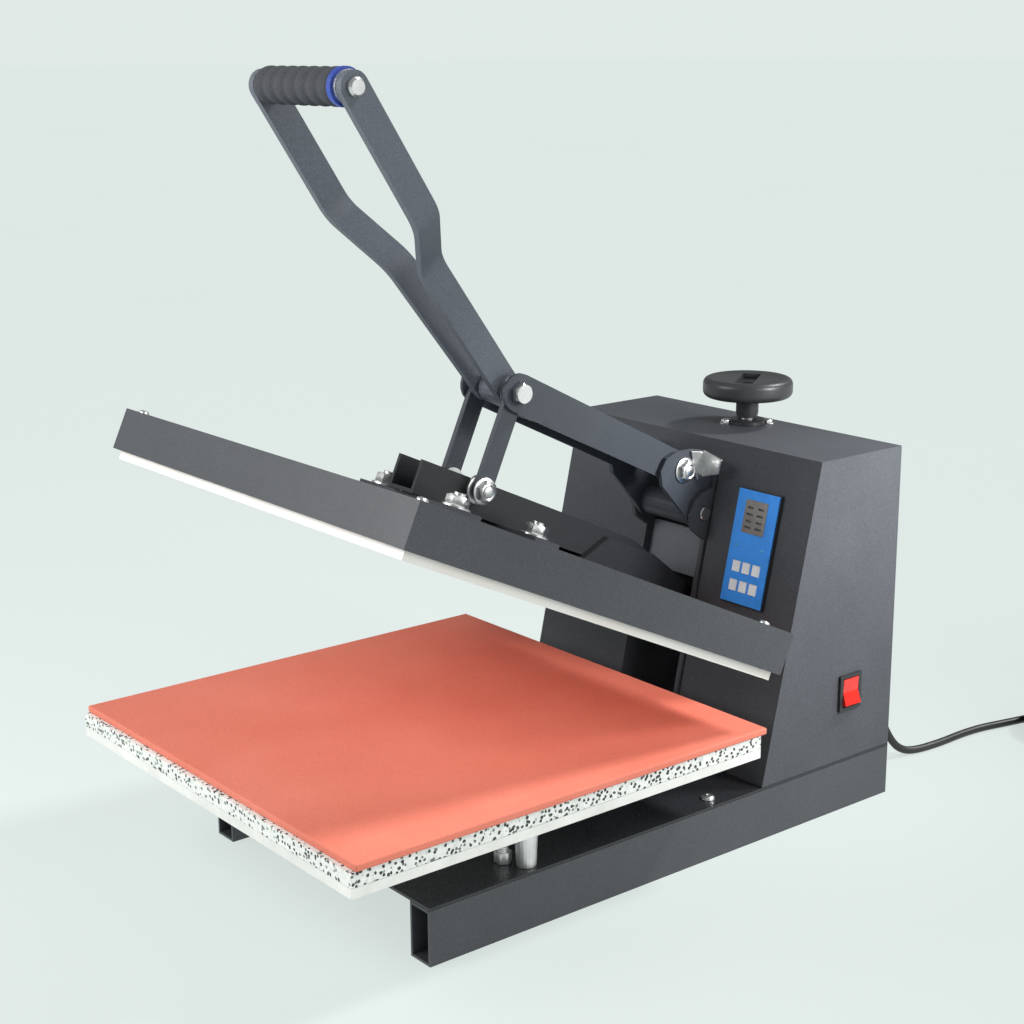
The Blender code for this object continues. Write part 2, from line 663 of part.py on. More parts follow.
# Centre line of a handle bar as (distance from the middle, y, z), from the grip to the elbow.
BAR_THICKNESS = 0.006
BAR_HALF_WIDTH = 0.0114
BEND_REACH = 0.010                # how far a bend reaches each way from its corner
BAR_LINE = ((0.0557, *GRIP_AXIS), (0.0557, -0.1240, 0.5110), (0.0198, -0.0960, 0.4735), (0.0135, *ELBOW))


def bar_stations():
    """Points down the bar, with its two bends rounded, and the width at each of them."""
    points = [Vector(p) for p in BAR_LINE]
    line = [points[0]]
    for before, corner, after in zip(points, points[1:], points[2:]):
        start = corner + (before - corner).normalized() * BEND_REACH
        end = corner + (after - corner).normalized() * BEND_REACH
        for i in range(8):
            t = i / 7
            line.append(start * (1 - t) ** 2 + corner * 2 * t * (1 - t) + end * t * t)
    line.append(points[-1])
    stations = []
    first, last = (line[0] - line[1]).normalized(), (line[-1] - line[-2]).normalized()
    for i in range(6):
        angle = math.radians(8 + 82 * i / 6)
        stations.append((line[0] + first * BAR_HALF_WIDTH * math.cos(angle), math.sin(angle)))
    stations += [(p, 1.0) for p in line]
    for i in range(6):
        angle = math.radians(90 - 82 * (i + 1) / 6)
        stations.append((line[-1] + last * BAR_HALF_WIDTH * math.cos(angle), math.sin(angle)))
    return stations


def build_handle_bar(name, side, pivot):
    """Flat bar, bent out to the grip and rounded at both ends."""
    bm = bmesh.new()
    stations = bar_stations()
    rings = []
    for i, (centre, share) in enumerate(stations):
        before = stations[max(i - 1, 0)][0]
        after = stations[min(i + 1, len(stations) - 1)][0]
        run = Vector((0, after[1] - before[1], after[2] - before[2])).normalized()
        across = Vector((0, -run.z, run.y)) * BAR_HALF_WIDTH * share
        out = Vector((BAR_THICKNESS / 2, 0, 0))
        ring = [centre - across - out, centre + across - out, centre + across + out, centre - across + out]
        rings.append([Vector((side * p.x, p.y, p.z)) for p in ring])
    loft(bm, rings)
    bar = finish(name, bm, HANDLE_PAINT, pivot)
    bm = bmesh.new()
    cylinder(bm, (side * 0.045, *GRIP_AXIS), (side * 0.065, *GRIP_AXIS), 0.0053)
    cylinder(bm, (side * 0.005, *ELBOW), (side * 0.025, *ELBOW), 0.0053)
    cut(bar, bm, f"cut_{name}_holes")
    return bar


def build_elbow_pins(pivot):
    """Short axle through the handle, and a stub bolt in each cheek. The links pass between them."""
    bm = bmesh.new()
    reach = LINK_X[0] - GAP
    cylinder(bm, (-reach, *ELBOW), (reach, *ELBOW), 0.0050, 20)
    finish("elbow_pin", bm, ZINC, pivot)
    face = ARM_X[1] + GAP
    for name, side in (("elbow_bolt_left", -1), ("elbow_bolt_right", 1)):
        bm = bmesh.new()
        bolt(bm, side * face, ELBOW, side, shank_end=side * (ARM_X[0] + 0.0002))
        finish(name, bm, ZINC, pivot)


GRIP_SLEEVE_X = (-0.0522, 0.0440)
GRIP_RING_X = (0.0443, 0.0490)


def build_grip(pivot):
    """Through bolt, foam sleeve with ribs, end ring and washer."""
    bm = bmesh.new()
    face, corner, head = 0.0590, 0.0068, 0.0040
    profile = [(-face - head, 0.0052), (-face - head * 0.6, corner), (-face, corner), (-face, 0.0050),
               (face, 0.0050), (face, corner), (face + head * 0.6, corner), (face + head, 0.0052)]
    turned(bm, (0, *GRIP_AXIS), (1, 0, 0), profile, 20)
    finish("grip_rod", bm, ZINC, pivot, smooth=True)

    bm = bmesh.new()
    ribs, low, high = 7, GRIP_SLEEVE_X[0], GRIP_SLEEVE_X[1]
    pitch = (high - low) / ribs
    profile = [(low, 0.0054)]
    for rib in range(ribs):
        start = low + rib * pitch
        profile += [(start, 0.0118), (start + pitch * 0.2, 0.0134), (start + pitch * 0.8, 0.0134)]
    profile += [(high, 0.0118), (high, 0.0054)]
    turned(bm, (0, *GRIP_AXIS), (1, 0, 0), profile, 24, closed=True)
    finish("grip_sleeve", bm, FOAM, pivot, smooth=True)

    bm = bmesh.new()
    washer(bm, GRIP_RING_X[0], GRIP_RING_X[1], GRIP_AXIS, 0.0054, 0.0137, 28)
    finish("grip_ring", bm, BLUE_PLASTIC, pivot, smooth=True)

    bm = bmesh.new()
    inner_face = BAR_LINE[0][0] - BAR_THICKNESS / 2 - GAP
    washer(bm, GRIP_RING_X[1] + GAP, inner_face, GRIP_AXIS, 0.0054, 0.0118)
    finish("grip_washer", bm, ZINC, pivot, smooth=True)


# ---------------------------------------------------------------- toggle links
def build_toggle_link(name, side, pivot, pin):
    bm = bmesh.new()
    low, high = sorted((side * LINK_X[0], side * LINK_X[1]))
    prism(bm, bar_outline(pin, ELBOW, 0.0080, 0.0080), low, high)
    link = finish(name, bm, HANDLE_PAINT, pivot)
    bm = bmesh.new()
    cylinder(bm, (low - 0.005, *pin), (high + 0.005, *pin), 0.0053)
    cylinder(bm, (low - 0.005, *ELBOW), (high + 0.005, *ELBOW), 0.0053)
    cut(link, bm, f"cut_{name}_holes")
    return link


# ---------------------------------------------------------------- upper platen, drawn closed
def build_platen_cover(pivot):
    bm = bmesh.new()
    back = COVER_FRONT_Y + COVER_DEPTH
    box(bm, (-COVER_HALF_X, COVER_FRONT_Y, COVER_Z[0]), (COVER_HALF_X, back, COVER_Z[1]))
    cover = finish("platen_cover", bm, POWDER_COAT, pivot)
    bm = bmesh.new()
    t = COVER_SHEET
    box(bm, (-COVER_HALF_X + t, COVER_FRONT_Y + t, COVER_Z[0] - 0.02),
        (COVER_HALF_X - t, back - t, COVER_Z[1] - t))
    cut(cover, bm, "cut_cover_hollow")
    return cover


def build_heat_stack(pivot):
    """Heating plate, element and insulation inside the cover."""
    inset, back = HEAT_PLATE_INSET, COVER_FRONT_Y + COVER_DEPTH
    reach = COVER_HALF_X - inset
    bm = bmesh.new()
    box(bm, (-reach, COVER_FRONT_Y + inset, HEAT_PLATE_Z[0]), (reach, back - inset, HEAT_PLATE_Z[1]))
    finish("heat_plate", bm, ALUMINIUM, pivot)

    bm = bmesh.new()
    low, high = HEAT_PLATE_Z[1] + 0.0076, COVER_Z[1] - COVER_SHEET - GAP
    edge = 0.0025
    box(bm, (-COVER_HALF_X + edge, COVER_FRONT_Y + edge, low), (COVER_HALF_X - edge, back - edge, high))
    finish("insulation_pad", bm, INSULATION, pivot)

    runs, half_run, pitch = 6, 0.150, 0.056
    height, radius = HEAT_PLATE_Z[1] + GAP + 0.0034, 0.0033
    middle = (COVER_FRONT_Y + back) / 2
    path = []
    for run in range(runs):
        y = middle + (run - (runs - 1) / 2) * pitch
        side = 1 if run % 2 == 0 else -1
        path.append((-side * half_run, y, height))
        path.append((side * half_run, y, height))
        if run < runs - 1:
            for step in range(1, 6):
                angle = math.pi * step / 6
                path.append((side * (half_run + pitch / 2 * math.sin(angle)),
                             y + pitch / 2 * (1 - math.cos(angle)), height))
    make_tube("heating_element", path, radius, STEEL, pivot, 2)


def build_platen_arm(pivot):
    """Open channel that carries the cover, with hinge lugs at the back and two cross straps."""
    low, high, wall = 0.1675, 0.1940, 0.0030
    front, back = -0.1574, 0.1717
    bm = bmesh.new()
    outline = [(front, low), (front, high), (0.0767, high), (back, 0.1705), (back, low)]
    prism(bm, outline, -CHANNEL_HALF_X, CHANNEL_HALF_X)
    channel = finish("platen_channel", bm, POWDER_COAT, pivot)
    bm = bmesh.new()
    reach = CHANNEL_HALF_X - wall
    box(bm, (-reach, front - 0.01, low + wall), (reach, back + 0.01, high + 0.01))
    cut(channel, bm, "cut_channel_inside")
    bm = bmesh.new()
    cylinder(bm, (-0.03, *LINK_PIN_CLOSED), (0.03, *LINK_PIN_CLOSED), 0.0053)
    cut(channel, bm, "cut_channel_holes")

    bm = bmesh.new()
    lug = [(0.0250, low - GAP - 0.0030), (0.0450, 0.1880), (0.1000, 0.1880), (0.1560, 0.1735)]
    lug += arc(PLATEN_PIVOT, 0.0165, 60, -100, 10)
    lug += [(0.1560, 0.1300), (0.1340, 0.1500), (0.1180, low - GAP - 0.0030)]
    low_x, high_x = CHANNEL_HALF_X + GAP, CHANNEL_HALF_X + 0.0063
    prism(bm, lug, low_x, high_x)
    lugs = finish("hinge_lugs", bm, POWDER_COAT, pivot)
    bm = bmesh.new()
    prism(bm, lug, -high_x, -low_x)
    join(lugs, bm, "left_lug")
    bm = bmesh.new()
    box(bm, (-high_x + 0.001, 0.0410, low - GAP - 0.0030), (high_x - 0.001, 0.1150, low - GAP))
    join(lugs, bm, "lug_tie_plate")
    bm = bmesh.new()
    cylinder(bm, (-0.03, *PLATEN_PIVOT), (0.03, *PLATEN_PIVOT), 0.0083)
    cut(lugs, bm, "cut_lug_holes")

    strap_top = low - GAP
    nut = [(-0.0020, 0.0092, "hex"), (0.0078, 0.0092, "hex"), (0.0088, 0.0075), (0.0088, 0.0050),
           (0.0112, 0.0044)]
    for name, y in (("channel_strap_front", STRAP_Y[0]), ("channel_strap_rear", STRAP_Y[1])):
        bm = bmesh.new()
        box(bm, (-0.062, y - 0.013, COVER_Z[1] + GAP), (0.062, y + 0.013, strap_top))
        strap = finish(name, bm, POWDER_COAT, pivot)
        for side in (-1, 1):
            bm = bmesh.new()
            turned(bm, (side * 0.045, y, strap_top), (0, 0, 1), nut, 12)
            join(strap, bm, f"{name}_nut_{side}")


def build_link_pin(pivot):
    """Bolt through the channel and both links, with a nut-sized head on each side."""
    bm = bmesh.new()
    face, corner, head = LINK_X[1] + GAP, 0.0092, 0.0066
    profile = [(-face - head, corner * 0.82), (-face - head * 0.8, corner, "hex"), (-face, corner, "hex"),
               (-face, 0.0050), (face, 0.0050), (face, corner, "hex"), (face + head * 0.8, corner, "hex"),
               (face + head, corner * 0.82)]
    turned(bm, (0, *LINK_PIN_CLOSED), (1, 0, 0), profile, 24)
    finish("link_pin", bm, ZINC, pivot)


# ---------------------------------------------------------------- control panel and switch
def build_control_panel():
    bm = bmesh.new()
    front_slab(bm, PANEL_X, PANEL_Z, (GAP, 0.0028))
    bezel = finish("panel_bezel", bm, BLACK_PLASTIC)
    bm = bmesh.new()
    edge = 0.0010
    front_slab(bm, (PANEL_X[0] + edge, PANEL_X[1] - edge), (PANEL_Z[0] + edge, PANEL_Z[1] - edge),
               (0.0031, 0.0039))
    face = finish("panel_face", bm, PANEL_BLUE)
    for row in range(2):
        for column in range(3):
            number = row * 3 + column + 1
            x, z = BUTTON_X[column], BUTTON_Z[row]
            half_x, half_z = BUTTON_SIZE[0] / 2, BUTTON_SIZE[1] / 2
            for target, reach in ((bezel, 0.0006), (face, 0.0003)):
                bm = bmesh.new()
                front_slab(bm, (x - half_x - reach, x + half_x + reach),
                           (z - half_z - reach, z + half_z + reach), (-0.001, 0.0060))
                cut(target, bm, f"cut_{target.name}_{number}")
            centre = Vector((x, front_y(z), z))
            pivot = pivot_empty(f"button_{number}_travel", centre.y, centre.z, 0.0, centre.x)
            bm = bmesh.new()
            front_slab(bm, (x - half_x, x + half_x), (z - half_z, z + half_z), (0.0011, 0.0046))
            finish(f"button_{number}", bm, BUTTON_WHITE, pivot)


def build_controller_board():
    """Circuit board behind the panel, with its relay and transformer."""
    bm = bmesh.new()
    front_slab(bm, (0.0600, 0.1250), (0.1720, 0.2800), (-0.0220, -0.0204))
    board = finish("controller_board", bm, BOARD_GREEN)
    for name, x_range, z_range, depth in (("relay", (0.068, 0.088), (0.185, 0.203), 0.016),
                                          ("transformer", (0.092, 0.118), (0.215, 0.245), 0.024)):
        bm = bmesh.new()
        front_slab(bm, x_range, z_range, (-0.0214 - depth, -0.0210))
        join(board, bm, name)
    return board


def build_switch():
    y, z = SWITCH_CENTRE
    half_y, half_z = SWITCH_HALF
    face = BASE_HALF_X + GAP
    bm = bmesh.new()
    box(bm, (face, y - half_y, z - half_z), (face + 0.0022, y + half_y, z + half_z))
    bezel = finish("switch_bezel", bm, BLACK_PLASTIC)
    bm = bmesh.new()
    box(bm, (0.1270, y - 0.0109, z - 0.0135), (face + 0.0010, y + 0.0109, z + 0.0135))
    join(bezel, bm, "switch_can")
    bm = bmesh.new()
    box(bm, (0.1300, y - 0.0096, z - 0.0127), (0.1600, y + 0.0096, z + 0.0127))
    cut(bezel, bm, "cut_switch_pocket")

    pivot = bpy.data.objects.new("switch_pivot", None)
    pivot.location = (0.1450, y, z)
    bpy.context.collection.objects.link(pivot)
    profile = [(-0.0070, -0.0104), (0.0042, -0.0116), (0.0064, -0.0112), (0.0042, 0.0), (0.0064, 0.0112),
               (0.0042, 0.0116), (-0.0070, 0.0104)]
    bm = bmesh.new()
    tilt = math.radians(8)
    rings = []
    for y_side in (y - 0.0092, y + 0.0092):
        ring = []
        for out, up in profile:
            ring.append((0.1450 + out * math.cos(tilt) - up * math.sin(tilt), y_side,
                         z + out * math.sin(tilt) + up * math.cos(tilt)))
        rings.append(ring)
    loft(bm, rings)
    finish("power_switch", bm, SWITCH_RED, pivot)


# ---------------------------------------------------------------- mains lead
def smooth_line(points, spacing):
    """Evenly spaced points on a smooth curve through the given points."""
    fine = []
    ends = [2 * points[0] - points[1]] + list(points) + [2 * points[-1] - points[-2]]
    for a, b, c, d in zip(ends, ends[1:], ends[2:], ends[3:]):
        for i in range(24):
            t = i / 24
            fine.append(0.5 * (2 * b + (c - a) * t + (2 * a - 5 * b + 4 * c - d) * t * t
                               + (3 * b - a - 3 * c + d) * t ** 3))
    fine.append(points[-1].copy())
    total = sum((q - p).length for p, q in zip(fine, fine[1:]))
    count = max(2, round(total / spacing))
    line, walked, target = [fine[0]], 0.0, total / count
    for p, q in zip(fine, fine[1:]):
        step = (q - p).length
        while walked + step >= target - 1e-9 and len(line) < count:
            line.append(p.lerp(q, (target - walked) / step))
            target += total / count
        walked += step
    line.append(fine[-1])
    return line


def make_tube(name, path, radius, look, pivot=None, resolution=2):
    curve = bpy.data.curves.new(name, "CURVE")
    curve.dimensions = "3D"
    curve.bevel_depth = radius
    curve.bevel_resolution = resolution
    curve.use_fill_caps = True
    spline = curve.splines.new("POLY")
    spline.points.add(len(path) - 1)
    origin = Vector(pivot.location) if pivot is not None else Vector((0, 0, 0))
    for point, place in zip(spline.points, path):
        point.co = (*(Vector(place) - origin), 1.0)
    curve.materials.append(material(name, look))
    made = bpy.data.objects.new(name, curve)
    bpy.context.collection.objects.link(made)
    if pivot is not None:
        made.parent = pivot
    return made


def coil_entry():
    """Where the lead's straight run towards the coil's outer turn comes beside the coil's rim."""
    last = Vector(CORD_ROUTE[-1])
    to_x, to_y = COIL_CENTRE[0] - last.x, COIL_CENTRE[1] - last.y
    distance = math.hypot(to_x, to_y)
    heading = math.atan2(to_y, to_x) + math.asin(COIL_TURN_RADIUS / distance)
    beside = COIL_RADII[1] + CORD_RADIUS + GAP
    run = math.sqrt(distance ** 2 - COIL_TURN_RADIUS ** 2) - math.sqrt(beside ** 2 - COIL_TURN_RADIUS ** 2)
    return last + run * Vector((math.cos(heading), math.sin(heading), 0))


def build_cord():
    gland_x, gland_z = GLAND
    bm = bmesh.new()
    start = BACK_Y - 0.008
    inside = CORD_RADIUS + GAP
    profile = [(0, inside), (0, 0.0074), (0.0083, 0.0074), (0.0083, 0.0105, "hex"), (0.0140, 0.0105, "hex"),
               (0.0142, 0.0082), (0.0285, 0.0052), (0.0285, inside)]
    turned(bm, (gland_x, start, gland_z), (0, 1, 0), profile, 24, closed=True)
    finish("cord_gland", bm, RUBBER)

    exit_point = Vector((gland_x, CORD_EXIT_Y + GAP, gland_z))
    route = [exit_point] + [Vector(p) for p in CORD_ROUTE] + [coil_entry()]
    make_tube("cord_lead", smooth_line(route, 0.009), CORD_RADIUS, RUBBER)

    bm = bmesh.new()
    inner, outer = COIL_RADII
    profile = [(0, inner + 0.002), (0, outer), (COIL_HEIGHT, outer), (COIL_HEIGHT, inner + 0.002)]
    turned(bm, (*COIL_CENTRE, GAP), (0, 0, 1), profile, 32, closed=True)
    finish("cord_coil", bm, RUBBER)

    bm = bmesh.new()
    rest_z = COIL_HEIGHT + 2 * GAP
    x, tail_y = COIL_CENTRE[0] + PLUG_OFFSET[0], COIL_CENTRE[1] + PLUG_OFFSET[1]
    rings = []
    for run, half_width, height in ((0.000, 0.0045, 0.0090), (0.018, 0.0055, 0.0110), (0.022, 0.0100, 0.0150),
                                    (0.052, 0.0105, 0.0160), (0.056, 0.0095, 0.0145)):
        low, y = rest_z + (0.0160 - height) / 2, tail_y - run
        rings.append([(x - half_width, y, low), (x + half_width, y, low),
                      (x + half_width, y, low + height), (x - half_width, y, low + height)])
    loft(bm, rings)
    plug = finish("mains_plug", bm, BLACK_PLASTIC)
    for side in (-1, 1):
        bm = bmesh.new()
        pin_x, pin_z = x + side * 0.0060, rest_z + 0.0080
        cylinder(bm, (pin_x, tail_y - 0.050, pin_z), (pin_x, tail_y - 0.074, pin_z), 0.0022, 12)
        join(plug, bm, f"plug_pin_{side}")


# ---------------------------------------------------------------- assembly
def build_base():
    build_rail("rail_left", -1)
    build_rail("rail_right", 1)
    build_base_plate()
    build_platen_supports()
    build_lower_platen()


def build_housing():
    build_housing_shell()
    build_back_panel()
    build_mast_bracket()
    build_mast_front_plate()
    build_screw_bridge()
    build_screw_bush()
    build_fulcrum_pin()
    build_hinge_shaft()
    build_torsion_spring()


def build_pressure_parts():
    knob_pivot = pivot_empty("knob_pivot", SCREW_Y, KNOB_Z[0])
    build_pressure_knob(knob_pivot)
    build_pressure_screw(knob_pivot)
    yoke_pivot = pivot_empty("yoke_pivot", *YOKE_PIVOT)
    build_pressure_yoke(yoke_pivot)
    build_trunnion_nut(yoke_pivot)
    build_lever_pivot_bolt(yoke_pivot)


def build_lever():
    pivot = pivot_empty("lever_pivot", *LEVER_PIVOT)
    build_lever_arm(pivot)
    build_handle_block(pivot)
    build_handle_bar("handle_bar_left", -1, pivot)
    build_handle_bar("handle_bar_right", 1, pivot)
    build_elbow_pins(pivot)
    build_grip(pivot)


def build_upper_platen():
    pivot = pivot_empty("platen_pivot", *PLATEN_PIVOT, -OPEN_ANGLE)
    build_platen_cover(pivot)
    build_heat_stack(pivot)
    build_platen_arm(pivot)
    build_link_pin(pivot)


def build_links():
    pin = turn_about(LINK_PIN_CLOSED, PLATEN_PIVOT, -OPEN_ANGLE)
    pivot = pivot_empty("link_pivot", *pin)
    build_toggle_link("toggle_link_left", -1, pivot, pin)
    build_toggle_link("toggle_link_right", 1, pivot, pin)


def main():
    clear_scene()
    build_base()
    build_housing()
    build_pressure_parts()
    build_lever()
    build_upper_platen()
    build_links()
    build_control_panel()
    build_controller_board()
    build_switch()
    build_cord()


main()
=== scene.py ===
"""Looks of a clamshell heat press: camera, light, materials and the fine pieces over its frame."""
import math

import bmesh
import bpy
from mathutils import Matrix, Vector


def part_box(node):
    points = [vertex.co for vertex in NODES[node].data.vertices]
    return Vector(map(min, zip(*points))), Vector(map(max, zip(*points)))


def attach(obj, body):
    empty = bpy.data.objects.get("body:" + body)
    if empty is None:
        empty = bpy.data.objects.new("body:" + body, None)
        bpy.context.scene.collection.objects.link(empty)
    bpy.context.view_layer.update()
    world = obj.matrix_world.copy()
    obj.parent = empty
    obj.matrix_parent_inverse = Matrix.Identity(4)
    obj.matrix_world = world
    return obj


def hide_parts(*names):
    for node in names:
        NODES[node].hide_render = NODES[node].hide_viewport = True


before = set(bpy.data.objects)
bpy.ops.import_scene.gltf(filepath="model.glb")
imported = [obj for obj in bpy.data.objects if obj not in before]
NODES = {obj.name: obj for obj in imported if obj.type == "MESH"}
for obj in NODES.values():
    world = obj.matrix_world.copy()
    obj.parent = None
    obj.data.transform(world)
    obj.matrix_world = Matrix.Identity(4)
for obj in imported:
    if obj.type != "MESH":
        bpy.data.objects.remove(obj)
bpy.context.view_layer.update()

# ---------------------------------------------------------------- sizes shared with the frame, metres
GAP = 0.0003
PLATEN_PIVOT = Vector((0.0, 0.1781, 0.1348))
LEVER_PIVOT = Vector((0.0, 0.1535, 0.2863))
ELBOW = Vector((0.0, -0.0185, 0.3717))
GRIP_AXIS = Vector((0.0, -0.1832, 0.6026))
LINK_PIN_CLOSED = Vector((0.0, -0.0994, 0.1873))
OPEN_ANGLE = math.radians(24.87)
HOUSING_FRONT_BOTTOM = (0.1351, 0.0455)
HOUSING_FRONT_TOP = (0.1936, 0.3069)
COVER_FRONT_Y, COVER_DEPTH, COVER_TOP = -0.2890, 0.3834, 0.1603
STRAP_Y = (-0.1373, -0.0543)

# the mains lead, with the route that the frame gives it
CORD_RADIUS = 0.0035
CORD_EXIT = Vector((0.096, 0.3111, 0.058))
COIL_CENTRE = Vector((0.1700, 0.5370, 0.0))
COIL_TURN_RADIUS, COIL_INNER_TURN = 0.0425, 0.0354
COIL_LEVELS = (0.0038, 0.0109, 0.0180)
PLUG_TAIL = COIL_CENTRE + Vector((0.034, 0.018, 0.0298))
CORD_ROUTE = (
    (0.0960, 0.3190, 0.0573),
    (0.0965, 0.3285, 0.0530),
    (0.0975, 0.3375, 0.0440),
    (0.0985, 0.3450, 0.0320),
    (0.1000, 0.3520, 0.0200),
    (0.1020, 0.3600, 0.0105),
    (0.1045, 0.3700, 0.0052),
    (0.1075, 0.3830, CORD_RADIUS + GAP),
    (0.1095, 0.4000, CORD_RADIUS + GAP),
    (0.1100, 0.4180, CORD_RADIUS + GAP),
    (0.1095, 0.4360, CORD_RADIUS + GAP),
    (0.1098, 0.4540, CORD_RADIUS + GAP),
    (0.1120, 0.4740, CORD_RADIUS + GAP),
)

KNOB_THICKNESS = 0.017
STRAP_NUT_Z, STRAP_NUT_SIZE = 0.1675, 0.0096      # seat with the platen closed, and half the width across corners
LEVELLING_SEAT = (0.121, -0.1123, 0.0455)
LEVELLING_PITCH, LEVELLING_TURNS = 0.0016, 26

# the studio: the backdrop's colour, and how much of it lights the press or comes from the floor itself
BACKDROP = (0.745, 0.815, 0.790)
WORLD_STRENGTH = 0.34
FLOOR_GLOW = 0.79
FLOOR_SIZE = 60.0

FRONT_SLOPE = (HOUSING_FRONT_TOP[0] - HOUSING_FRONT_BOTTOM[0]) / (
    HOUSING_FRONT_TOP[1] - HOUSING_FRONT_BOTTOM[1])
FRONT_TILT = math.atan(FRONT_SLOPE)


# ---------------------------------------------------------------- camera, light and floor
def add_camera():
    data = bpy.data.cameras.new("camera")
    data.lens = 64.06
    data.sensor_width = 36.0
    camera = bpy.data.objects.new("camera", data)
    bpy.context.collection.objects.link(camera)
    yaw, pitch, roll = math.radians(51.22), math.radians(14.36), math.radians(-0.35)
    turn = Matrix.Rotation(yaw, 4, "Z") @ Matrix.Rotation(math.pi / 2 - pitch, 4, "X")
    place = Matrix.Translation((1.09124, -0.88129, 0.62866))
    camera.matrix_world = place @ turn @ Matrix.Rotation(roll, 4, "Z")
    bpy.context.scene.camera = camera


def add_sun(name, towards, strength, softness):
    data = bpy.data.lights.new(name, "SUN")
    data.energy = strength
    data.angle = math.radians(softness)
    light = bpy.data.objects.new(name, data)
    bpy.context.collection.objects.link(light)
    light.rotation_euler = Vector(towards).to_track_quat("Z", "Y").to_euler()


def add_area(name, place, target, power, size, spread):
    data = bpy.data.lights.new(name, "AREA")
    data.energy = power
    data.size = size
    data.spread = math.radians(spread)
    light = bpy.data.objects.new(name, data)
    bpy.context.collection.objects.link(light)
    light.location = place
    away = Vector(place) - Vector(target)
    light.rotation_euler = away.to_track_quat("Z", "Y").to_euler()
    light.visible_camera = False


def add_studio():
    """Near key at the front left, weak fill, side and rim suns, and a close light on the housing's side."""
    scene = bpy.context.scene
    scene.view_settings.view_transform = "Standard"
    world = bpy.data.worlds.new("studio")
    scene.world = world
    world.use_nodes = True
    tree = world.node_tree
    background = tree.nodes["Background"]
    background.inputs["Color"].default_value = (*BACKDROP, 1)
    background.inputs["Strength"].default_value = WORLD_STRENGTH
    # the camera sees the backdrop at its full colour, whatever strength lights the press
    backdrop = tree.nodes.new("ShaderNodeBackground")
    backdrop.inputs["Color"].default_value = (*BACKDROP, 1)
    seen = tree.nodes.new("ShaderNodeLightPath")
    choice = tree.nodes.new("ShaderNodeMixShader")
    tree.links.new(seen.outputs["Is Camera Ray"], choice.inputs["Fac"])
    tree.links.new(background.outputs["Background"], choice.inputs[1])
    tree.links.new(backdrop.outputs["Background"], choice.inputs[2])
    tree.links.new(choice.outputs["Shader"], tree.nodes["World Output"].inputs["Surface"])
    add_area("key", (-0.30, -1.00, 0.80), (0.0, -0.25, 0.20), 10.3, 0.7, 180)
    add_sun("fill", (-0.62, -0.50, 0.60), 0.25, 60)
    add_sun("side", (0.93, 0.20, 0.26), 1.0, 50)
    add_sun("rim", (0.25, 0.60, 0.75), 2.4, 10)
    add_area("housing_side", (0.50, 0.36, 0.46), (0.19, 0.27, 0.28), 0.70, 0.12, 75)

    bm = bmesh.new()
    bmesh.ops.create_grid(bm, x_segments=8, y_segments=8, size=FLOOR_SIZE)
    floor = make_object("floor", bm, floor_material())
    shader = floor.data.materials[0].node_tree.nodes["Principled BSDF"]
    shader.inputs["Emission Color"].default_value = (*BACKDROP, 1)
    shader.inputs["Emission Strength"].default_value = FLOOR_GLOW


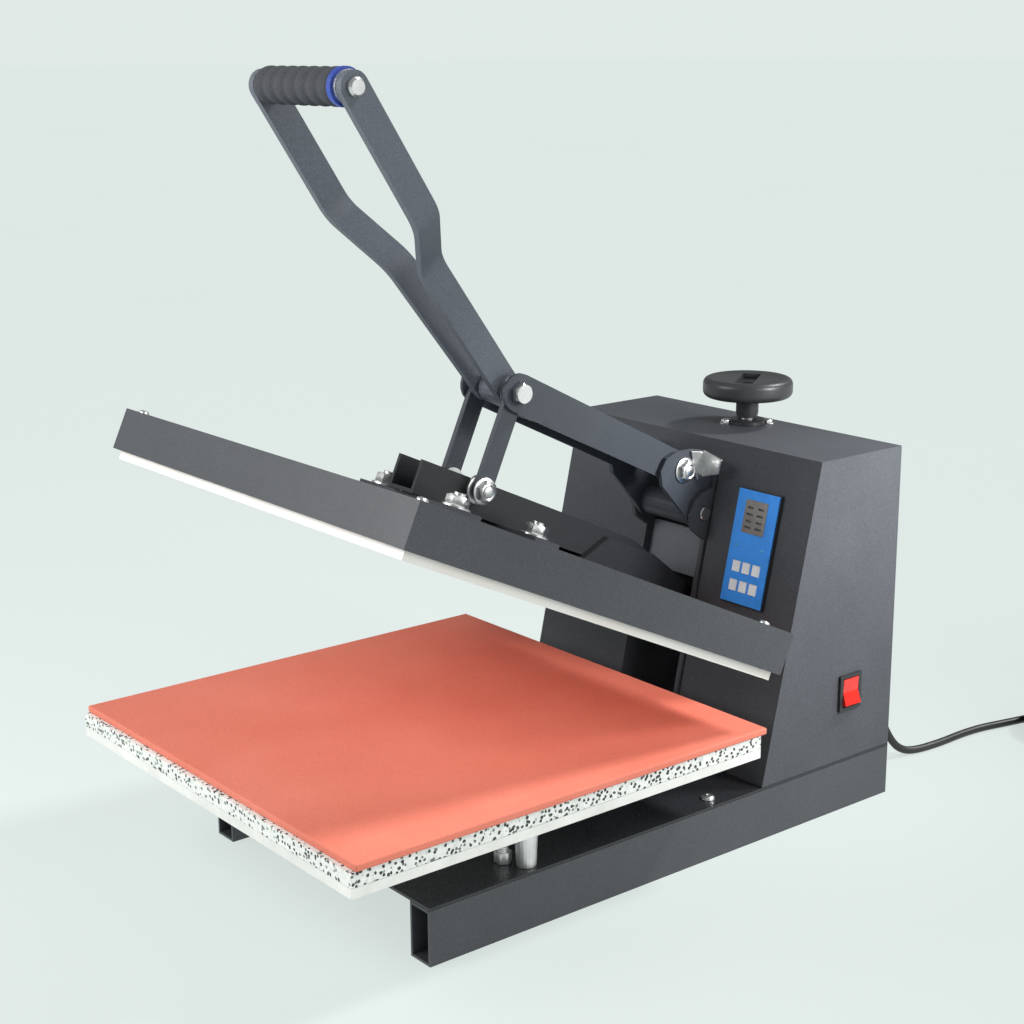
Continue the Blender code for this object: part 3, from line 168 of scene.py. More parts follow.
# ---------------------------------------------------------------- materials
class Surface:
    """A Principled material with helpers for the procedural nodes that feed it."""

    def __init__(self, name, roughness=0.5, metallic=0.0, coat=0.0, coat_roughness=0.1, specular=0.5):
        self.material = bpy.data.materials.new(name)
        self.material.use_nodes = True
        self.tree = self.material.node_tree
        self.shader = self.tree.nodes["Principled BSDF"]
        self.shader.inputs["Roughness"].default_value = roughness
        self.shader.inputs["Metallic"].default_value = metallic
        self.shader.inputs["Coat Weight"].default_value = coat
        self.shader.inputs["Coat Roughness"].default_value = coat_roughness
        self.shader.inputs["Specular IOR Level"].default_value = specular
        self.coordinates = self.node("ShaderNodeTexCoord").outputs["Object"]

    def node(self, kind, **settings):
        made = self.tree.nodes.new(kind)
        for key, value in settings.items():
            setattr(made, key, value)
        return made

    def link(self, source, target):
        self.tree.links.new(source, target)

    def stretched(self, scale):
        mapping = self.node("ShaderNodeMapping")
        mapping.inputs["Scale"].default_value = scale
        self.link(self.coordinates, mapping.inputs["Vector"])
        return mapping.outputs["Vector"]

    def noise(self, scale, detail=3.0, roughness=0.5, vector=None):
        made = self.node("ShaderNodeTexNoise")
        made.inputs["Scale"].default_value = scale
        made.inputs["Detail"].default_value = detail
        made.inputs["Roughness"].default_value = roughness
        self.link(vector or self.coordinates, made.inputs["Vector"])
        return made.outputs["Fac"]

    def cells(self, scale, output="Distance", feature="F1"):
        made = self.node("ShaderNodeTexVoronoi", feature=feature)
        made.inputs["Scale"].default_value = scale
        self.link(self.coordinates, made.inputs["Vector"])
        return made.outputs[output]

    def ramp(self, factor, stops, constant=False):
        made = self.node("ShaderNodeValToRGB")
        made.color_ramp.interpolation = "CONSTANT" if constant else "LINEAR"
        elements = made.color_ramp.elements
        while len(elements) < len(stops):
            elements.new(0.5)
        for element, (position, colour) in zip(elements, stops):
            element.position = position
            element.color = (*colour, 1.0)
        self.link(factor, made.inputs["Fac"])
        return made.outputs["Color"]

    def mix(self, factor, first, second, blend="MIX"):
        made = self.node("ShaderNodeMix", data_type="RGBA", blend_type=blend)
        self.link(factor, made.inputs["Factor"])
        for value, socket in ((first, made.inputs["A"]), (second, made.inputs["B"])):
            if isinstance(value, tuple):
                socket.default_value = (*value, 1.0)
            else:
                self.link(value, socket)
        return made.outputs["Result"]

    def scaled(self, value, low, high):
        made = self.node("ShaderNodeMapRange")
        made.inputs["To Min"].default_value = low
        made.inputs["To Max"].default_value = high
        self.link(value, made.inputs["Value"])
        return made.outputs["Result"]

    def colour(self, value):
        self.link(value, self.shader.inputs["Base Color"])

    def roughness(self, value, low, high):
        self.link(self.scaled(value, low, high), self.shader.inputs["Roughness"])

    def bump(self, height, distance, strength=1.0):
        made = self.node("ShaderNodeBump")
        made.inputs["Distance"].default_value = distance
        made.inputs["Strength"].default_value = strength
        self.link(height, made.inputs["Height"])
        previous = self.shader.inputs["Normal"].links
        if previous:
            self.link(previous[0].from_socket, made.inputs["Normal"])
        self.link(made.outputs["Normal"], self.shader.inputs["Normal"])


def tinted(colour, factor):
    return tuple(channel * factor for channel in colour)


def powder_coat(name, colour, roughness=0.56, painted_glint=1.35, specular=0.28):
    """Fine-textured powder coat: an orange-peel bump, with the finest grains painted lighter as painted glints."""
    surface = Surface(name, specular=specular)
    grain = surface.noise(900, 2.0, 0.6)
    cloud = surface.noise(14, 4.0, 0.55)
    # painted glints: the lightest grains get their colour raised above the coat's own, standing in for glints off the
    # textured surface
    base = surface.ramp(grain, [(0.30, tinted(colour, 0.80)), (0.56, colour), (0.72, tinted(colour, painted_glint))])
    worn = surface.ramp(cloud, [(0.30, (0.90, 0.90, 0.90)), (0.70, (1.06, 1.06, 1.06))])
    full = surface.node("ShaderNodeMix", data_type="RGBA", blend_type="MULTIPLY")
    full.inputs["Factor"].default_value = 1.0
    surface.link(base, full.inputs["A"])
    surface.link(worn, full.inputs["B"])
    surface.colour(full.outputs["Result"])
    surface.roughness(grain, roughness - 0.06, roughness + 0.12)
    surface.bump(grain, 0.00018, 0.55)
    surface.bump(surface.noise(260, 2.0), 0.00022, 0.35)
    return surface.material


def plated_metal(name, colour, roughness=0.22, grain_scale=(60, 900, 900)):
    """Bright zinc or bare steel with fine turning marks and a slightly uneven shine."""
    surface = Surface(name, metallic=1.0)
    cloud = surface.noise(90, 3.0)
    surface.colour(surface.ramp(cloud, [(0.30, tinted(colour, 0.82)), (0.70, colour)]))
    surface.roughness(cloud, roughness - 0.05, roughness + 0.14)
    marks = surface.noise(1.0, 2.0, 0.5, surface.stretched(grain_scale))
    surface.bump(marks, 0.00005, 0.5)
    return surface.material


def speckled_board():
    """Off-white pressed board with black, grey and greenish crumbs."""
    surface = Surface("speckled_board", roughness=0.62)
    pale, shade = (0.88, 0.88, 0.86), (0.72, 0.73, 0.70)
    base = surface.ramp(surface.noise(220, 3.0), [(0.35, shade), (0.65, pale)])
    warped = surface.noise(420, 3.0, 0.6)
    crumbs = surface.cells(340)
    tone = surface.cells(340, "Color")
    split = surface.node("ShaderNodeSeparateColor")
    surface.link(tone, split.inputs["Color"])
    picked = surface.ramp(split.outputs["Red"], [(0.0, (0.035, 0.038, 0.038)), (0.30, (0.14, 0.15, 0.14)),
                                                 (0.46, (0.24, 0.32, 0.26)), (0.58, (0.80, 0.81, 0.77))], True)
    edge = surface.node("ShaderNodeMath", operation="ADD")
    surface.link(crumbs, edge.inputs[0])
    surface.link(surface.scaled(warped, -0.25, 0.35), edge.inputs[1])
    inside = surface.node("ShaderNodeMath", operation="LESS_THAN")
    surface.link(edge.outputs["Value"], inside.inputs[0])
    inside.inputs[1].default_value = 0.48
    surface.colour(surface.mix(inside.outputs["Value"], base, picked))
    surface.bump(warped, 0.0003, 0.6)
    return surface.material


def silicone_sponge():
    surface = Surface("silicone_sponge", specular=0.35)
    pores = surface.noise(1300, 3.0, 0.6)
    cloud = surface.noise(9, 4.0)
    deep, light = (0.74, 0.195, 0.128), (0.80, 0.235, 0.165)
    base = surface.ramp(cloud, [(0.32, deep), (0.68, light)])
    specks = surface.ramp(pores, [(0.30, (0.80, 0.80, 0.80)), (0.52, (1, 1, 1)), (0.75, (1.10, 1.12, 1.12))])
    full = surface.node("ShaderNodeMix", data_type="RGBA", blend_type="MULTIPLY")
    full.inputs["Factor"].default_value = 1.0
    surface.link(base, full.inputs["A"])
    surface.link(specks, full.inputs["B"])
    surface.colour(full.outputs["Result"])
    surface.roughness(pores, 0.52, 0.72)
    surface.bump(pores, 0.00025, 0.5)
    return surface.material


def soft_foam():
    surface = Surface("grip_foam", specular=0.3)
    cells = surface.noise(1500, 3.0, 0.7)
    surface.colour(surface.ramp(cells, [(0.30, (0.026, 0.027, 0.032)), (0.70, (0.085, 0.088, 0.100))]))
    surface.roughness(cells, 0.70, 0.92)
    surface.bump(cells, 0.0003, 0.8)
    return surface.material


def moulded(name, colour, roughness=0.4, specular=0.5, coat=0.0):
    """Moulded plastic or rubber with a faint texture and a few rub marks."""
    surface = Surface(name, specular=specular, coat=coat)
    fine = surface.noise(1100, 2.0)
    rub = surface.noise(45, 5.0, 0.65)
    surface.colour(surface.ramp(rub, [(0.35, tinted(colour, 0.88)), (0.70, tinted(colour, 1.12))]))
    surface.roughness(rub, roughness - 0.06, roughness + 0.10)
    surface.bump(fine, 0.00006, 0.5)
    return surface.material


def cream_enamel(name="cream_enamel", colour=(0.83, 0.82, 0.79)):
    surface = Surface(name, specular=0.45)
    cloud = surface.noise(30, 4.0, 0.6)
    surface.colour(surface.ramp(cloud, [(0.30, tinted(colour, 0.86)), (0.70, tinted(colour, 1.05))]))
    surface.roughness(cloud, 0.38, 0.55)
    surface.bump(surface.noise(500, 2.0), 0.00008, 0.4)
    return surface.material


def heat_face():
    """Cast plate under a pale non-stick coating, a little browned."""
    surface = Surface("heat_face", specular=0.5)
    cloud = surface.noise(12, 5.0, 0.6)
    surface.colour(surface.ramp(cloud, [(0.30, (0.93, 0.84, 0.78)), (0.70, (0.98, 0.95, 0.92))]))
    surface.roughness(surface.noise(60, 4.0), 0.25, 0.42)
    surface.bump(surface.noise(700, 2.0), 0.00006, 0.4)
    return surface.material


def fibre_blanket():
    surface = Surface("fibre_blanket", specular=0.2)
    hairs = surface.noise(1.0, 5.0, 0.7, surface.stretched((120, 700, 700)))
    surface.colour(surface.ramp(hairs, [(0.25, (0.55, 0.50, 0.40)), (0.75, (0.86, 0.82, 0.72))]))
    surface.roughness(hairs, 0.85, 1.0)
    surface.bump(hairs, 0.0012, 0.8)
    return surface.material


def circuit_board():
    surface = Surface("circuit_board", specular=0.5)
    pads = surface.cells(420)
    surface.colour(surface.ramp(pads, [(0.0, (0.70, 0.62, 0.30)), (0.16, (0.60, 0.55, 0.28)),
                                       (0.20, (0.02, 0.16, 0.07)), (0.60, (0.03, 0.22, 0.10))]))
    surface.roughness(pads, 0.28, 0.45)
    surface.bump(pads, 0.0002, 0.5)
    return surface.material


def floor_material():
    surface = Surface("studio_floor", specular=0.0)
    cloud = surface.noise(0.8, 3.0)
    surface.colour(surface.ramp(cloud, [(0.30, tinted(BACKDROP, 0.195)), (0.70, tinted(BACKDROP, 0.205))]))
    surface.roughness(cloud, 0.85, 0.95)
    return surface.material


# ---------------------------------------------------------------- mesh helpers
def make_object(name, bm, material, smooth_angle=40):
    bmesh.ops.recalc_face_normals(bm, faces=bm.faces[:])
    mesh = bpy.data.meshes.new(name)
    bm.to_mesh(mesh)
    bm.free()
    mesh.materials.append(material)
    made = bpy.data.objects.new(name, mesh)
    bpy.context.collection.objects.link(made)
    if smooth_angle:
        mesh.shade_smooth()
        mesh.set_sharp_from_angle(angle=math.radians(smooth_angle))
    return made


def loft(bm, rings, closed=False):
    rows = [[bm.verts.new(p) for p in ring] for ring in rings]
    pairs = list(zip(rows, rows[1:]))
    if closed:
        pairs.append((rows[-1], rows[0]))
    for low, high in pairs:
        for i in range(len(low)):
            j = (i + 1) % len(low)
            bm.faces.new((low[i], low[j], high[j], high[i]))
    if not closed:
        bm.faces.new(rows[0])
        bm.faces.new(rows[-1])


def ring_points(centre, radius, axis, count, hexagon=False):
    turn = Vector((0, 0, 1)).rotation_difference(Vector(axis).normalized())
    points = []
    for i in range(count):
        angle = 2 * math.pi * i / count
        reach = radius
        if hexagon:
            within = math.fmod(angle, math.pi / 3) - math.pi / 6
            reach = radius * math.cos(math.pi / 6) / math.cos(within)
        flat = Vector((reach * math.cos(angle), reach * math.sin(angle), 0.0))
        points.append(Vector(centre) + turn @ flat)
    return points


def turned(bm, start, axis, profile, count=48, closed=False):
    direction = Vector(axis).normalized()
    rings = []
    for station in profile:
        centre = Vector(start) + direction * station[0]
        rings.append(ring_points(centre, station[1], axis, count, len(station) == 3))
    loft(bm, rings, closed)


def opened(point):
    """A point of the closed upper platen, moved to where it stands open."""
    turn = Matrix.Rotation(-OPEN_ANGLE, 3, "X")
    return PLATEN_PIVOT + turn @ (Vector(point) - PLATEN_PIVOT)


def opened_direction(direction):
    return Matrix.Rotation(-OPEN_ANGLE, 3, "X") @ Vector(direction)


def front_point(x, z, proud=0.0):
    """A point on the housing's sloping front, or that far in front of it."""
    y = HOUSING_FRONT_BOTTOM[0] + (z - HOUSING_FRONT_BOTTOM[1]) * FRONT_SLOPE
    return Vector((x, y - proud * math.cos(FRONT_TILT), z + proud * math.sin(FRONT_TILT)))


def rounded_slab(bm, x_range, z_range, proud_range, radius, crown=0.0, steps=5):
    """A tile with round corners lying on the sloping front."""
    corners = []
    left, right = x_range[0] + radius, x_range[1] - radius
    bottom, top = z_range[0] + radius, z_range[1] - radius
    for cx, cz, start in ((right, top, 0), (left, top, 90), (left, bottom, 180), (right, bottom, 270)):
        for i in range(steps + 1):
            angle = math.radians(start + 90 * i / steps)
            corners.append((cx + radius * math.cos(angle), cz + radius * math.sin(angle), math.cos(angle),
                            math.sin(angle)))
    low, high = proud_range
    soft = min(radius * 0.6, (high - low) * 0.4)
    rings = []
    for proud, inset in ((low, 0), (high - soft, 0), (high - soft * 0.3, soft * 0.3), (high, soft)):
        rings.append([front_point(x - ax * inset, z - az * inset, proud) for x, z, ax, az in corners])
    if crown:
        mx, mz = sum(x_range) / 2, sum(z_range) / 2
        for share, lift in ((0.55, crown * 0.8), (0.15, crown)):
            rings.append([front_point(mx + (x - mx) * share, mz + (z - mz) * share, high + lift)
                          for x, z, _, _ in corners])
    loft(bm, rings)


# ---------------------------------------------------------------- mains lead
def smooth_line(points, spacing):
    """Evenly spaced points on a smooth curve through the given points."""
    fine = []
    ends = [2 * points[0] - points[1]] + list(points) + [2 * points[-1] - points[-2]]
    for a, b, c, d in zip(ends, ends[1:], ends[2:], ends[3:]):
        for i in range(24):
            t = i / 24
            fine.append(0.5 * (2 * b + (c - a) * t + (2 * a - 5 * b + 4 * c - d) * t * t
                               + (3 * b - a - 3 * c + d) * t ** 3))
    fine.append(points[-1].copy())
    total = sum((q - p).length for p, q in zip(fine, fine[1:]))
    count = max(2, round(total / spacing))
    line, walked, target = [fine[0]], 0.0, total / count
    for p, q in zip(fine, fine[1:]):
        step = (q - p).length
        while walked + step >= target - 1e-9 and len(line) < count:
            line.append(p.lerp(q, (target - walked) / step))
            target += total / count
        walked += step
    line.append(fine[-1])
    return line


def eased(value):
    value = min(max(value, 0.0), 1.0)
    return value * value * (3 - 2 * value)


def coil_points():
    """Five turns, two side by side on each level, then a rise to the plug on top."""
    to_centre = COIL_CENTRE - Vector((CORD_ROUTE[-1][0], CORD_ROUTE[-1][1], 0))
    heading = math.atan2(to_centre.y, to_centre.x) + math.asin(COIL_TURN_RADIUS / to_centre.length)
    start = heading + math.pi / 2
    low, middle, high = COIL_LEVELS
    outer, inner = COIL_TURN_RADIUS, COIL_INNER_TURN
    lanes = [(outer, low), (inner, low), (inner, middle), (outer, middle), (outer, high)]
    plug_reach = math.hypot(PLUG_TAIL.x - COIL_CENTRE.x, PLUG_TAIL.y - COIL_CENTRE.y)
    plug_angle = math.atan2(PLUG_TAIL.y - COIL_CENTRE.y, PLUG_TAIL.x - COIL_CENTRE.x)
    lanes.append((plug_reach, PLUG_TAIL.z))
    last_sweep = (start - plug_angle) % (2 * math.pi)
    shift = math.radians(50)
    points = []
    per_turn = 36
    for i in range(per_turn * 5 + round(per_turn * last_sweep / (2 * math.pi)) + 1):
        sweep = 2 * math.pi * i / per_turn
        turn = min(int(sweep / (2 * math.pi)), 4)
        radius, z = lanes[turn]
        if turn < 4:
            share = eased((sweep - 2 * math.pi * (turn + 1) + shift) / shift)
        else:
            share = eased((sweep - 10 * math.pi + shift) / (last_sweep + shift))
        radius += (lanes[turn + 1][0] - radius) * share
        z += (lanes[turn + 1][1] - z) * share
        angle = start - sweep
        points.append(COIL_CENTRE + Vector((radius * math.cos(angle), radius * math.sin(angle), z)))
    return points


def add_cord(rubber):
    straight = [CORD_EXIT + Vector((0, GAP, 0))] + [Vector(p) for p in CORD_ROUTE]
    coil = coil_points()
    run_in = [straight[-1].lerp(coil[0], share) for share in (0.35, 0.7)]
    line = smooth_line(straight + run_in + coil + [PLUG_TAIL + Vector((0, -GAP, 0))], 0.005)
    curve = bpy.data.curves.new("mains_lead", "CURVE")
    curve.dimensions = "3D"
    curve.bevel_depth = CORD_RADIUS
    curve.bevel_resolution = 5
    curve.use_fill_caps = True
    spline = curve.splines.new("POLY")
    spline.points.add(len(line) - 1)
    for point, place in zip(spline.points, line):
        point.co = (*place, 1.0)
    spline.use_smooth = True
    curve.materials.append(rubber)
    lead = bpy.data.objects.new("mains_lead", curve)
    bpy.context.collection.objects.link(lead)
    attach(lead, "base")
    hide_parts("cord_lead", "cord_coil")


# ---------------------------------------------------------------- frame pieces: materials and edges
def dress_nodes(looks):
    """Give each frame node its material, smooth shading and a small rounded edge."""
    for name, (material, bevel, segments) in looks.items():
        node = NODES[name]
        node.data.materials.clear()
        node.data.materials.append(material)
        node.data.shade_smooth()
        node.data.set_sharp_from_angle(angle=math.radians(30))
        if bevel:
            rounding = node.modifiers.new("edge_rounding", "BEVEL")
            rounding.width = bevel
            rounding.segments = segments
            rounding.limit_method = "ANGLE"
            rounding.angle_limit = math.radians(35)
            rounding.harden_normals = True
            rounding.use_clamp_overlap = True


def set_up_materials():
    charcoal = (0.070, 0.074, 0.085)
    made = {
        "coat": powder_coat("powder_coat_charcoal", charcoal),
        "base_coat": powder_coat("powder_coat_base", tinted(charcoal, 0.35), 0.26, 1.35, 0.45),
        "gloss_coat": powder_coat("powder_coat_edges", tinted(charcoal, 0.84), 0.38, 1.35, 0.5),
        "plate_coat": powder_coat("powder_coat_plate", tinted(charcoal, 2.2), 0.40, 1.2, 0.5),
        "arm_coat": powder_coat("powder_coat_arm", (0.058, 0.066, 0.082), 0.42, 1.3, 0.4),
        "dark_coat": powder_coat("powder_coat_dark", tinted(charcoal, 0.30), 0.34, 1.35, 0.40),
        "handle": powder_coat("handle_paint", (0.118, 0.130, 0.158), 0.42, 1.3, 0.4),
        "zinc": plated_metal("bright_zinc", (0.80, 0.80, 0.80), 0.26),
        "post": plated_metal("satin_zinc", (0.86, 0.85, 0.86), 0.46),
        "steel": plated_metal("bare_steel", (0.50, 0.50, 0.50), 0.34),
        "cream": cream_enamel(),
        "board": speckled_board(),
        "silicone": silicone_sponge(),
        "foam": soft_foam(),
        "blue": moulded("blue_ring", (0.022, 0.060, 0.36), 0.35),
        "black": moulded("black_plastic", (0.022, 0.022, 0.024), 0.36),
        "knob": moulded("knob_plastic", (0.030, 0.030, 0.034), 0.38),
        "panel": moulded("panel_film", (0.042, 0.33, 1.0), 0.50, coat=0.05),
        "display": moulded("display_glass", (0.230, 0.205, 0.190), 0.50, coat=0.05),
        "button": moulded("button_white", (0.95, 0.98, 1.0), 0.35),
        "rocker": moulded("rocker_red", (0.62, 0.018, 0.010), 0.14, coat=0.5),
        "heat": heat_face(),
        "fibre": fibre_blanket(),
        "circuit": circuit_board(),
        "rubber": moulded("cable_sheath", (0.014, 0.014, 0.015), 0.45),
    }
    return made


def node_looks(m):
    coat, handle, zinc = m["coat"], m["handle"], m["zinc"]
    looks = {
        "rail_left": (m["gloss_coat"], 0.0018, 4),
        "rail_right": (m["gloss_coat"], 0.0018, 4),
        "base_plate": (m["base_coat"], 0.0006, 2),
        "front_post_left": (m["post"], 0.0006, 2),
        "front_post_right": (m["post"], 0.0006, 2),
        "rear_bracket": (coat, 0.0006, 2),
        "lower_plate": (m["cream"], 0.0006, 2),
        "platen_board": (m["board"], 0.0005, 2),
        "silicone_pad": (m["silicone"], 0, 0),
        "housing_shell": (coat, 0.0011, 3),
        "back_panel": (coat, 0.0003, 1),
        "mast_bracket": (coat, 0.0005, 2),
        "mast_front_plate": (m["plate_coat"], 0.0004, 1),
        "screw_bridge": (m["steel"], 0.0005, 2),
        "screw_bush": (m["black"], 0.0003, 2),
        "fulcrum_pin": (zinc, 0, 0),
        "hinge_shaft": (zinc, 0.0004, 2),
        "hinge_spring": (m["steel"], 0, 0),
        "panel_bezel": (m["black"], 0.0005, 2),
        "panel_face": (m["panel"], 0.0002, 2),
        "controller_board": (m["circuit"], 0, 0),
        "switch_bezel": (m["black"], 0.0005, 2),
        "cord_gland": (m["black"], 0.0004, 2),
        "mains_plug": (m["black"], 0.0010, 3),
        "pressure_knob": (m["knob"], 0, 0),
        "pressure_screw": (zinc, 0, 0),
        "pressure_yoke": (m["arm_coat"], 0.0005, 2),
        "trunnion_nut": (zinc, 0.0004, 2),
        "lever_pivot_bolt": (zinc, 0.0005, 2),
        "lever_arm": (m["arm_coat"], 0.0008, 3),
        "handle_block": (handle, 0.0008, 2),
        "handle_bar_left": (handle, 0.0009, 3),
        "handle_bar_right": (handle, 0.0009, 3),
        "elbow_pin": (zinc, 0, 0),
        "elbow_bolt_left": (zinc, 0.0005, 2),
        "elbow_bolt_right": (zinc, 0.0005, 2),
        "grip_rod": (zinc, 0.0004, 2),
        "grip_ring": (m["blue"], 0.0005, 2),
        "grip_washer": (zinc, 0.0003, 2),
        "platen_cover": (m["gloss_coat"], 0.0018, 4),
        "heat_plate": (m["heat"], 0.0010, 2),
        "insulation_pad": (m["fibre"], 0, 0),
        "heating_element": (m["steel"], 0, 0),
        "platen_channel": (m["dark_coat"], 0.0007, 2),
        "hinge_lugs": (m["dark_coat"], 0.0007, 2),
        "channel_strap_front": (coat, 0.0006, 2),
        "channel_strap_rear": (coat, 0.0006, 2),
        "link_pin": (zinc, 0.0005, 2),
        "toggle_link_left": (m["arm_coat"], 0.0006, 2),
        "toggle_link_right": (m["arm_coat"], 0.0006, 2),
        "power_switch": (m["rocker"], 0.0006, 3),
    }
    for number in range(1, 7):
        looks[f"button_{number}"] = (m["button"], 0.0004, 2)
    return looks


# ---------------------------------------------------------------- small pieces
def hex_bolt(name, seat, axis, size, material, body, washer=True, end=0.0):
    """A washer with a chamfered hex on it and, if end is given, the stud's rounded end."""
    bm = bmesh.new()
    rise = 0.0
    if washer:
        thick = size * 0.14
        turned(bm, seat, axis, [(0, size * 1.25), (thick * 0.7, size * 1.25), (thick, size * 1.20)], 40)
        rise = thick
    tall = size * 0.72
    turned(bm, seat, axis, [(rise, size * 0.94, "hex"), (rise + tall * 0.06, size, "hex"),
                            (rise + tall * 0.86, size, "hex"), (rise + tall, size * 0.84)], 48)
    if end:
        top = rise + tall
        turned(bm, seat, axis, [(top - 0.0002, size * 0.52), (top + end * 0.8, size * 0.52), (top + end, size * 0.40)], 28)
    made = make_object(name, bm, material)
    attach(made, body)
    return made


def pan_screw(name, seat, axis, radius, material, body):
    """Cross-head screw with a domed head."""
    bm = bmesh.new()
    profile = [(0, radius), (radius * 0.25, radius), (radius * 0.48, radius * 0.82), (radius * 0.60, radius * 0.45),
               (radius * 0.62, radius * 0.30), (radius * 0.36, radius * 0.18)]
    turned(bm, seat, axis, profile, 28)
    made = make_object(name, bm, material)
    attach(made, body)


def flat_washer(name, centre, side, low, thick, inner, outer, material, body):
    bm = bmesh.new()
    profile = [(0, inner), (0, outer), (thick * 0.8, outer), (thick, outer - thick * 0.3), (thick, inner)]
    turned(bm, (side * low, centre.y, centre.z), (side, 0, 0), profile, 40, closed=True)
    made = make_object(name, bm, material)
    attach(made, body)


def add_fasteners(m):
    zinc = m["zinc"]
    for side, label in ((-1, "left"), (1, "right")):
        pan_screw(f"plate_screw_{label}", (side * 0.1344, 0.0863, 0.0454), (0, 0, 1), 0.0056, zinc, "base")
        for z in (0.070, 0.175, 0.285):
            pan_screw(f"back_screw_{label}_{round(z * 1000)}", (side * 0.132, 0.2906, z), (0, 1, 0), 0.0034,
                      zinc, "base")
        for y in (COVER_FRONT_Y + 0.010, COVER_FRONT_Y + COVER_DEPTH - 0.024):
            end = "front" if y < 0 else "rear"
            pan_screw(f"cover_screw_{end}_{label}", opened((side * 0.185, y, COVER_TOP)),
                      opened_direction((0, 0, 1)), 0.0042, zinc, "platen")
        flat_washer(f"elbow_spacer_{label}", ELBOW, side, 0.0168, 0.0024, 0.0052, 0.0115, zinc, "lever")
        pin = opened(LINK_PIN_CLOSED)
        flat_washer(f"link_washer_{label}", pin, side, 0.0159, 0.0034, 0.0052, 0.0115, zinc, "platen")


def locknut_pair(name, node, centre, face, size, material, body):
    """Both visible ends of a pivot bolt: washer, chamfered hex and the bolt's end inside a collar."""
    bm = bmesh.new()
    for side in (-1, 1):
        seat = Vector((side * face, centre.y, centre.z))
        axis = (side, 0, 0)
        turned(bm, seat, axis, [(0, size * 1.16), (size * 0.10, size * 1.16), (size * 0.13, size * 1.10)], 40)
        turned(bm, seat, axis, [(size * 0.13, size * 0.95, "hex"), (size * 0.20, size, "hex"),
                                (size * 0.52, size, "hex"), (size * 0.60, size * 0.86), (size * 0.68, size * 0.74),
                                (size * 0.71, size * 0.66), (size * 0.64, size * 0.58), (size * 0.60, size * 0.50)], 48)
        turned(bm, seat, axis, [(size * 0.4, size * 0.48), (size * 0.70, size * 0.48), (size * 0.76, size * 0.38)], 28)
    turned(bm, (-face - 0.0005, centre.y, centre.z), (1, 0, 0), [(0, 0.0049), (2 * face + 0.001, 0.0049)], 32)
    made = make_object(name, bm, material)
    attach(made, body)
    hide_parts(node)


def add_knob(m):
    """Disc knob with a soft rim and a slanted recess, and the two screws of the bush beside it."""
    low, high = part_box("pressure_knob")
    radius = (high[0] - low[0]) / 2
    centre_y = (low[1] + high[1]) / 2
    high_z = high[2]
    low_z = high_z - KNOB_THICKNESS
    bm = bmesh.new()
    profile = [(0.3130, 0.0063), (0.3130, 0.0088), (0.3170, 0.0098), (low_z - 0.0015, 0.0098), (low_z, 0.0130)]
    rim, steps = 0.0055, 8
    profile.append((low_z, radius - rim))
    for i in range(1, steps + 1):
        angle = math.pi / 2 * i / steps
        profile.append((low_z + rim * (1 - math.cos(angle)), radius - rim * (1 - math.sin(angle))))
    for i in range(steps):
        angle = math.pi / 2 * i / steps
        profile.append((high_z - rim + rim * math.sin(angle), radius - rim * (1 - math.cos(angle))))
    profile += [(high_z, radius - rim), (high_z - 0.0012, radius - rim - 0.004), (high_z - 0.0012, 0.0063)]
    turned(bm, (0, centre_y, 0), (0, 0, 1), profile, 96, closed=True)
    knob = make_object("knob_disc", bm, m["knob"])
    bm = bmesh.new()
    bmesh.ops.create_cube(bm, size=1.0)
    bmesh.ops.scale(bm, vec=(0.016, 0.050, 0.012), verts=bm.verts[:])
    bmesh.ops.rotate(bm, matrix=Matrix.Rotation(math.radians(35), 3, "Z"), verts=bm.verts[:])
    bmesh.ops.translate(bm, vec=(0, centre_y, high_z + 0.0002), verts=bm.verts[:])
    cutter = make_object("recess_cutter", bm, m["knob"], 0)
    cut = knob.modifiers.new("recess", "BOOLEAN")
    cut.object = cutter
    cut.solver = "EXACT"
    carved = bpy.data.meshes.new_from_object(knob.evaluated_get(bpy.context.evaluated_depsgraph_get()))
    knob.modifiers.clear()
    knob.data = carved
    bpy.data.objects.remove(cutter, do_unlink=True)
    carved.set_sharp_from_angle(angle=math.radians(40))
    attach(knob, "knob")
    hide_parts("pressure_knob")
    for side, label in ((-1, "left"), (1, "right")):
        seat = (side * 0.0117, centre_y + side * 0.0145, 0.3070)
        hex_bolt(f"bush_screw_{label}", seat, (0, 0, 1), 0.0042, m["zinc"], "base")


def add_strap_nuts(m):
    """Bright nuts over the ones that the frame's straps carry."""
    for side, label in ((-1, "left"), (1, "right")):
        for y, end in zip(STRAP_Y, ("front", "rear")):
            bm = bmesh.new()
            seat, axis = opened((side * 0.045, y, STRAP_NUT_Z)), opened_direction((0, 0, 1))
            size = STRAP_NUT_SIZE
            turned(bm, seat, axis, [(0, size * 1.22), (0.0012, size * 1.22), (0.0015, size * 1.16)], 40)
            turned(bm, seat, axis, [(0.0015, size * 0.95, "hex"), (0.0022, size, "hex"), (0.0082, size, "hex"),
                                    (0.0092, size * 0.84), (0.0096, size * 0.60)], 48)
            turned(bm, seat, axis, [(0.0080, 0.0050), (0.0112, 0.0050), (0.0118, 0.0040)], 28)
            nut = make_object(f"strap_nut_{end}_{label}", bm, m["zinc"])
            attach(nut, "platen")


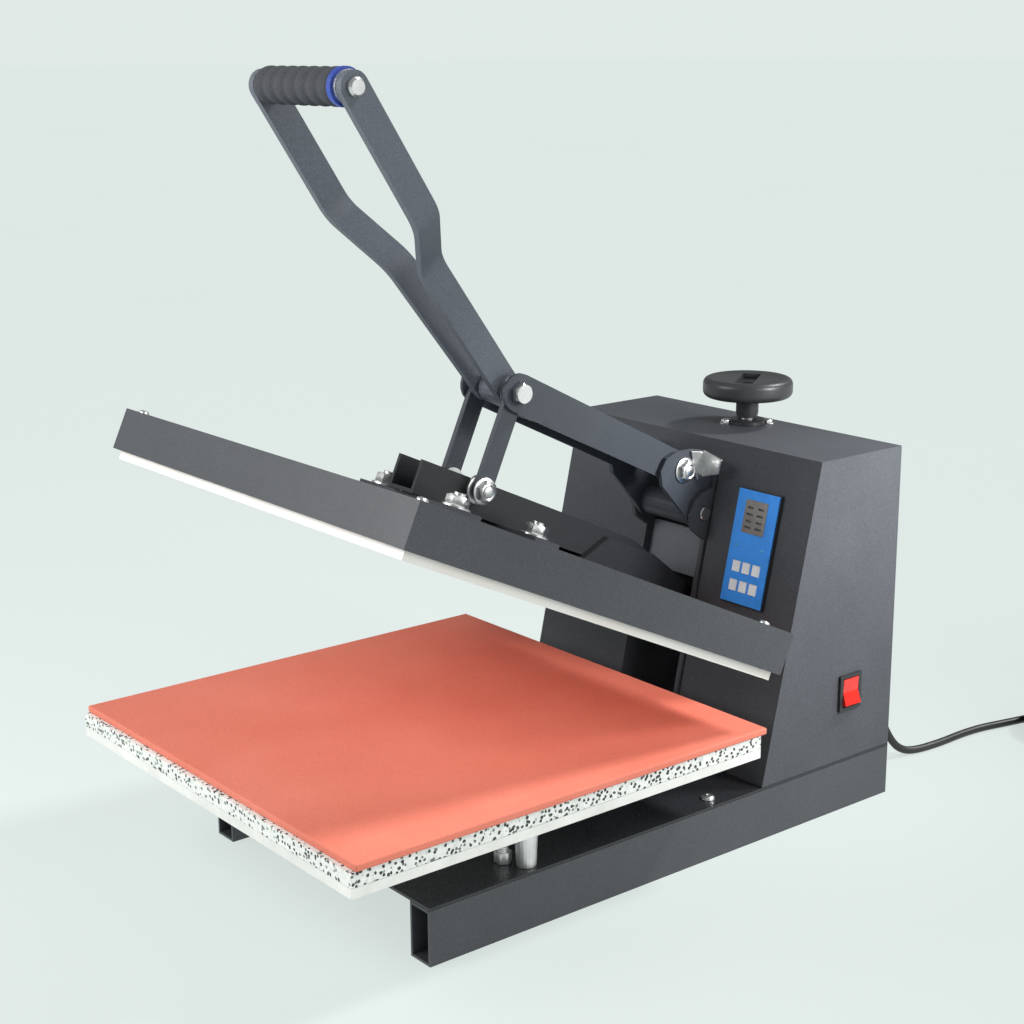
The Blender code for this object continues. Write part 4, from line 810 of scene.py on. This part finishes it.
def add_levelling_nuts(m):
    """Zinc nut and stud over the ones that the frame's lower plate carries."""
    for side, label in ((-1, "left"), (1, "right")):
        bm = bmesh.new()
        seat = (side * LEVELLING_SEAT[0], *LEVELLING_SEAT[1:])
        turned(bm, seat, (0, 0, 1), [(0, 0.0064, "hex"), (0.0006, 0.0068, "hex"), (0.0082, 0.0068, "hex"),
                                     (0.0089, 0.0058)], 48)
        ridges = [(0.0070, 0.0042)]
        for i in range(LEVELLING_TURNS):
            start = 0.0080 + LEVELLING_PITCH * i
            ridges += [(start, 0.0039), (start + LEVELLING_PITCH / 2, 0.0043)]
        ridges.append((0.0512, 0.0040))
        turned(bm, seat, (0, 0, 1), ridges, 24)
        stud = make_object(f"levelling_stud_{label}", bm, m["post"])
        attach(stud, "base")


def add_yoke_plate(m):
    """Bright reinforcing plate on the outer face of each yoke cheek."""
    outline = [(0.1590, 0.3020), (0.1745, 0.2995), (0.1790, 0.2870), (0.1775, 0.2790), (0.1660, 0.2765)]
    tab = [(0.0345, 0.3010), (0.0560, 0.2960), (0.0520, 0.2830), (0.0345, 0.2780)]
    for side, label in ((-1, "left"), (1, "right")):
        bm = bmesh.new()
        loft(bm, [[(side * x, y, z) for y, z in outline] for x in (0.0324, 0.0350)])
        loft(bm, [[(side * x, y, z) for x, z in tab] for y in (0.1725, 0.1748)])
        plate = make_object(f"yoke_plate_{label}", bm, m["zinc"], 0)
        rounding = plate.modifiers.new("edge_rounding", "BEVEL")
        rounding.width = 0.0007
        rounding.segments = 3
        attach(plate, "yoke")


def add_grip_sleeve(foam):
    """Ribbed foam with a soft roll between the grooves."""
    bm = bmesh.new()
    ribs, low, high = 7, -0.0522, 0.0440
    pitch = (high - low) / ribs
    profile = [(low, 0.0056), (low, 0.0108)]
    for rib in range(ribs):
        start = low + rib * pitch
        for step in range(1, 12):
            share = step / 12
            swell = math.sin(math.pi * share) ** 0.5
            profile.append((start + pitch * share, 0.0104 + 0.0031 * swell))
    profile += [(high, 0.0108), (high, 0.0056)]
    turned(bm, (0, GRIP_AXIS.y, GRIP_AXIS.z), (1, 0, 0), profile, 56, closed=True)
    sleeve = make_object("foam_grip", bm, foam, 60)
    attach(sleeve, "lever")
    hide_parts("grip_sleeve")


def add_panel_details(m):
    bm = bmesh.new()
    rounded_slab(bm, (0.0785, 0.1030), (0.2385, 0.2655), (0.0039, 0.0044), 0.0012)
    window = make_object("display_window", bm, m["display"])
    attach(window, "base")
    bm = bmesh.new()
    lines = ((0.2595, 0.0060), (0.2540, 0.0075), (0.2485, 0.0060), (0.2435, 0.0070))
    for z, half in lines:
        for middle in (0.0850, 0.0965):
            rounded_slab(bm, (middle - half / 2, middle + half / 2), (z - 0.0009, z + 0.0009), (0.0043, 0.0046), 0.0004,
                         steps=2)
    bars = make_object("display_segments", bm, m["segments"])
    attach(bars, "base")
    for name, x, material in (("indicator_left", 0.0766, m["lamp"]), ("indicator_right", 0.1053, m["lamp"])):
        bm = bmesh.new()
        turned(bm, front_point(x, 0.2275, 0.0038), (0, -math.cos(FRONT_TILT), math.sin(FRONT_TILT)),
               [(0, 0.0014), (0.0006, 0.0014), (0.0011, 0.0009), (0.0013, 0.0003)], 20)
        lamp = make_object(name, bm, material)
        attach(lamp, "base")


def main():
    add_camera()
    materials = set_up_materials()
    materials["segments"] = moulded("display_ink", (0.030, 0.030, 0.034), 0.30)
    materials["lamp"] = moulded("lamp_lens", (0.10, 0.42, 0.72), 0.20, coat=0.5)
    add_cord(materials["rubber"])
    dress_nodes(node_looks(materials))
    add_fasteners(materials)
    zinc = materials["zinc"]
    locknut_pair("link_pin_bolt", "link_pin", opened(LINK_PIN_CLOSED), 0.0247, 0.0092, zinc, "platen")
    locknut_pair("lever_bolt", "lever_pivot_bolt", LEVER_PIVOT, 0.0326, 0.0092, zinc, "yoke")
    add_strap_nuts(materials)
    add_levelling_nuts(materials)
    add_yoke_plate(materials)
    add_knob(materials)
    add_grip_sleeve(materials["foam"])
    add_panel_details(materials)
    add_studio()


main()
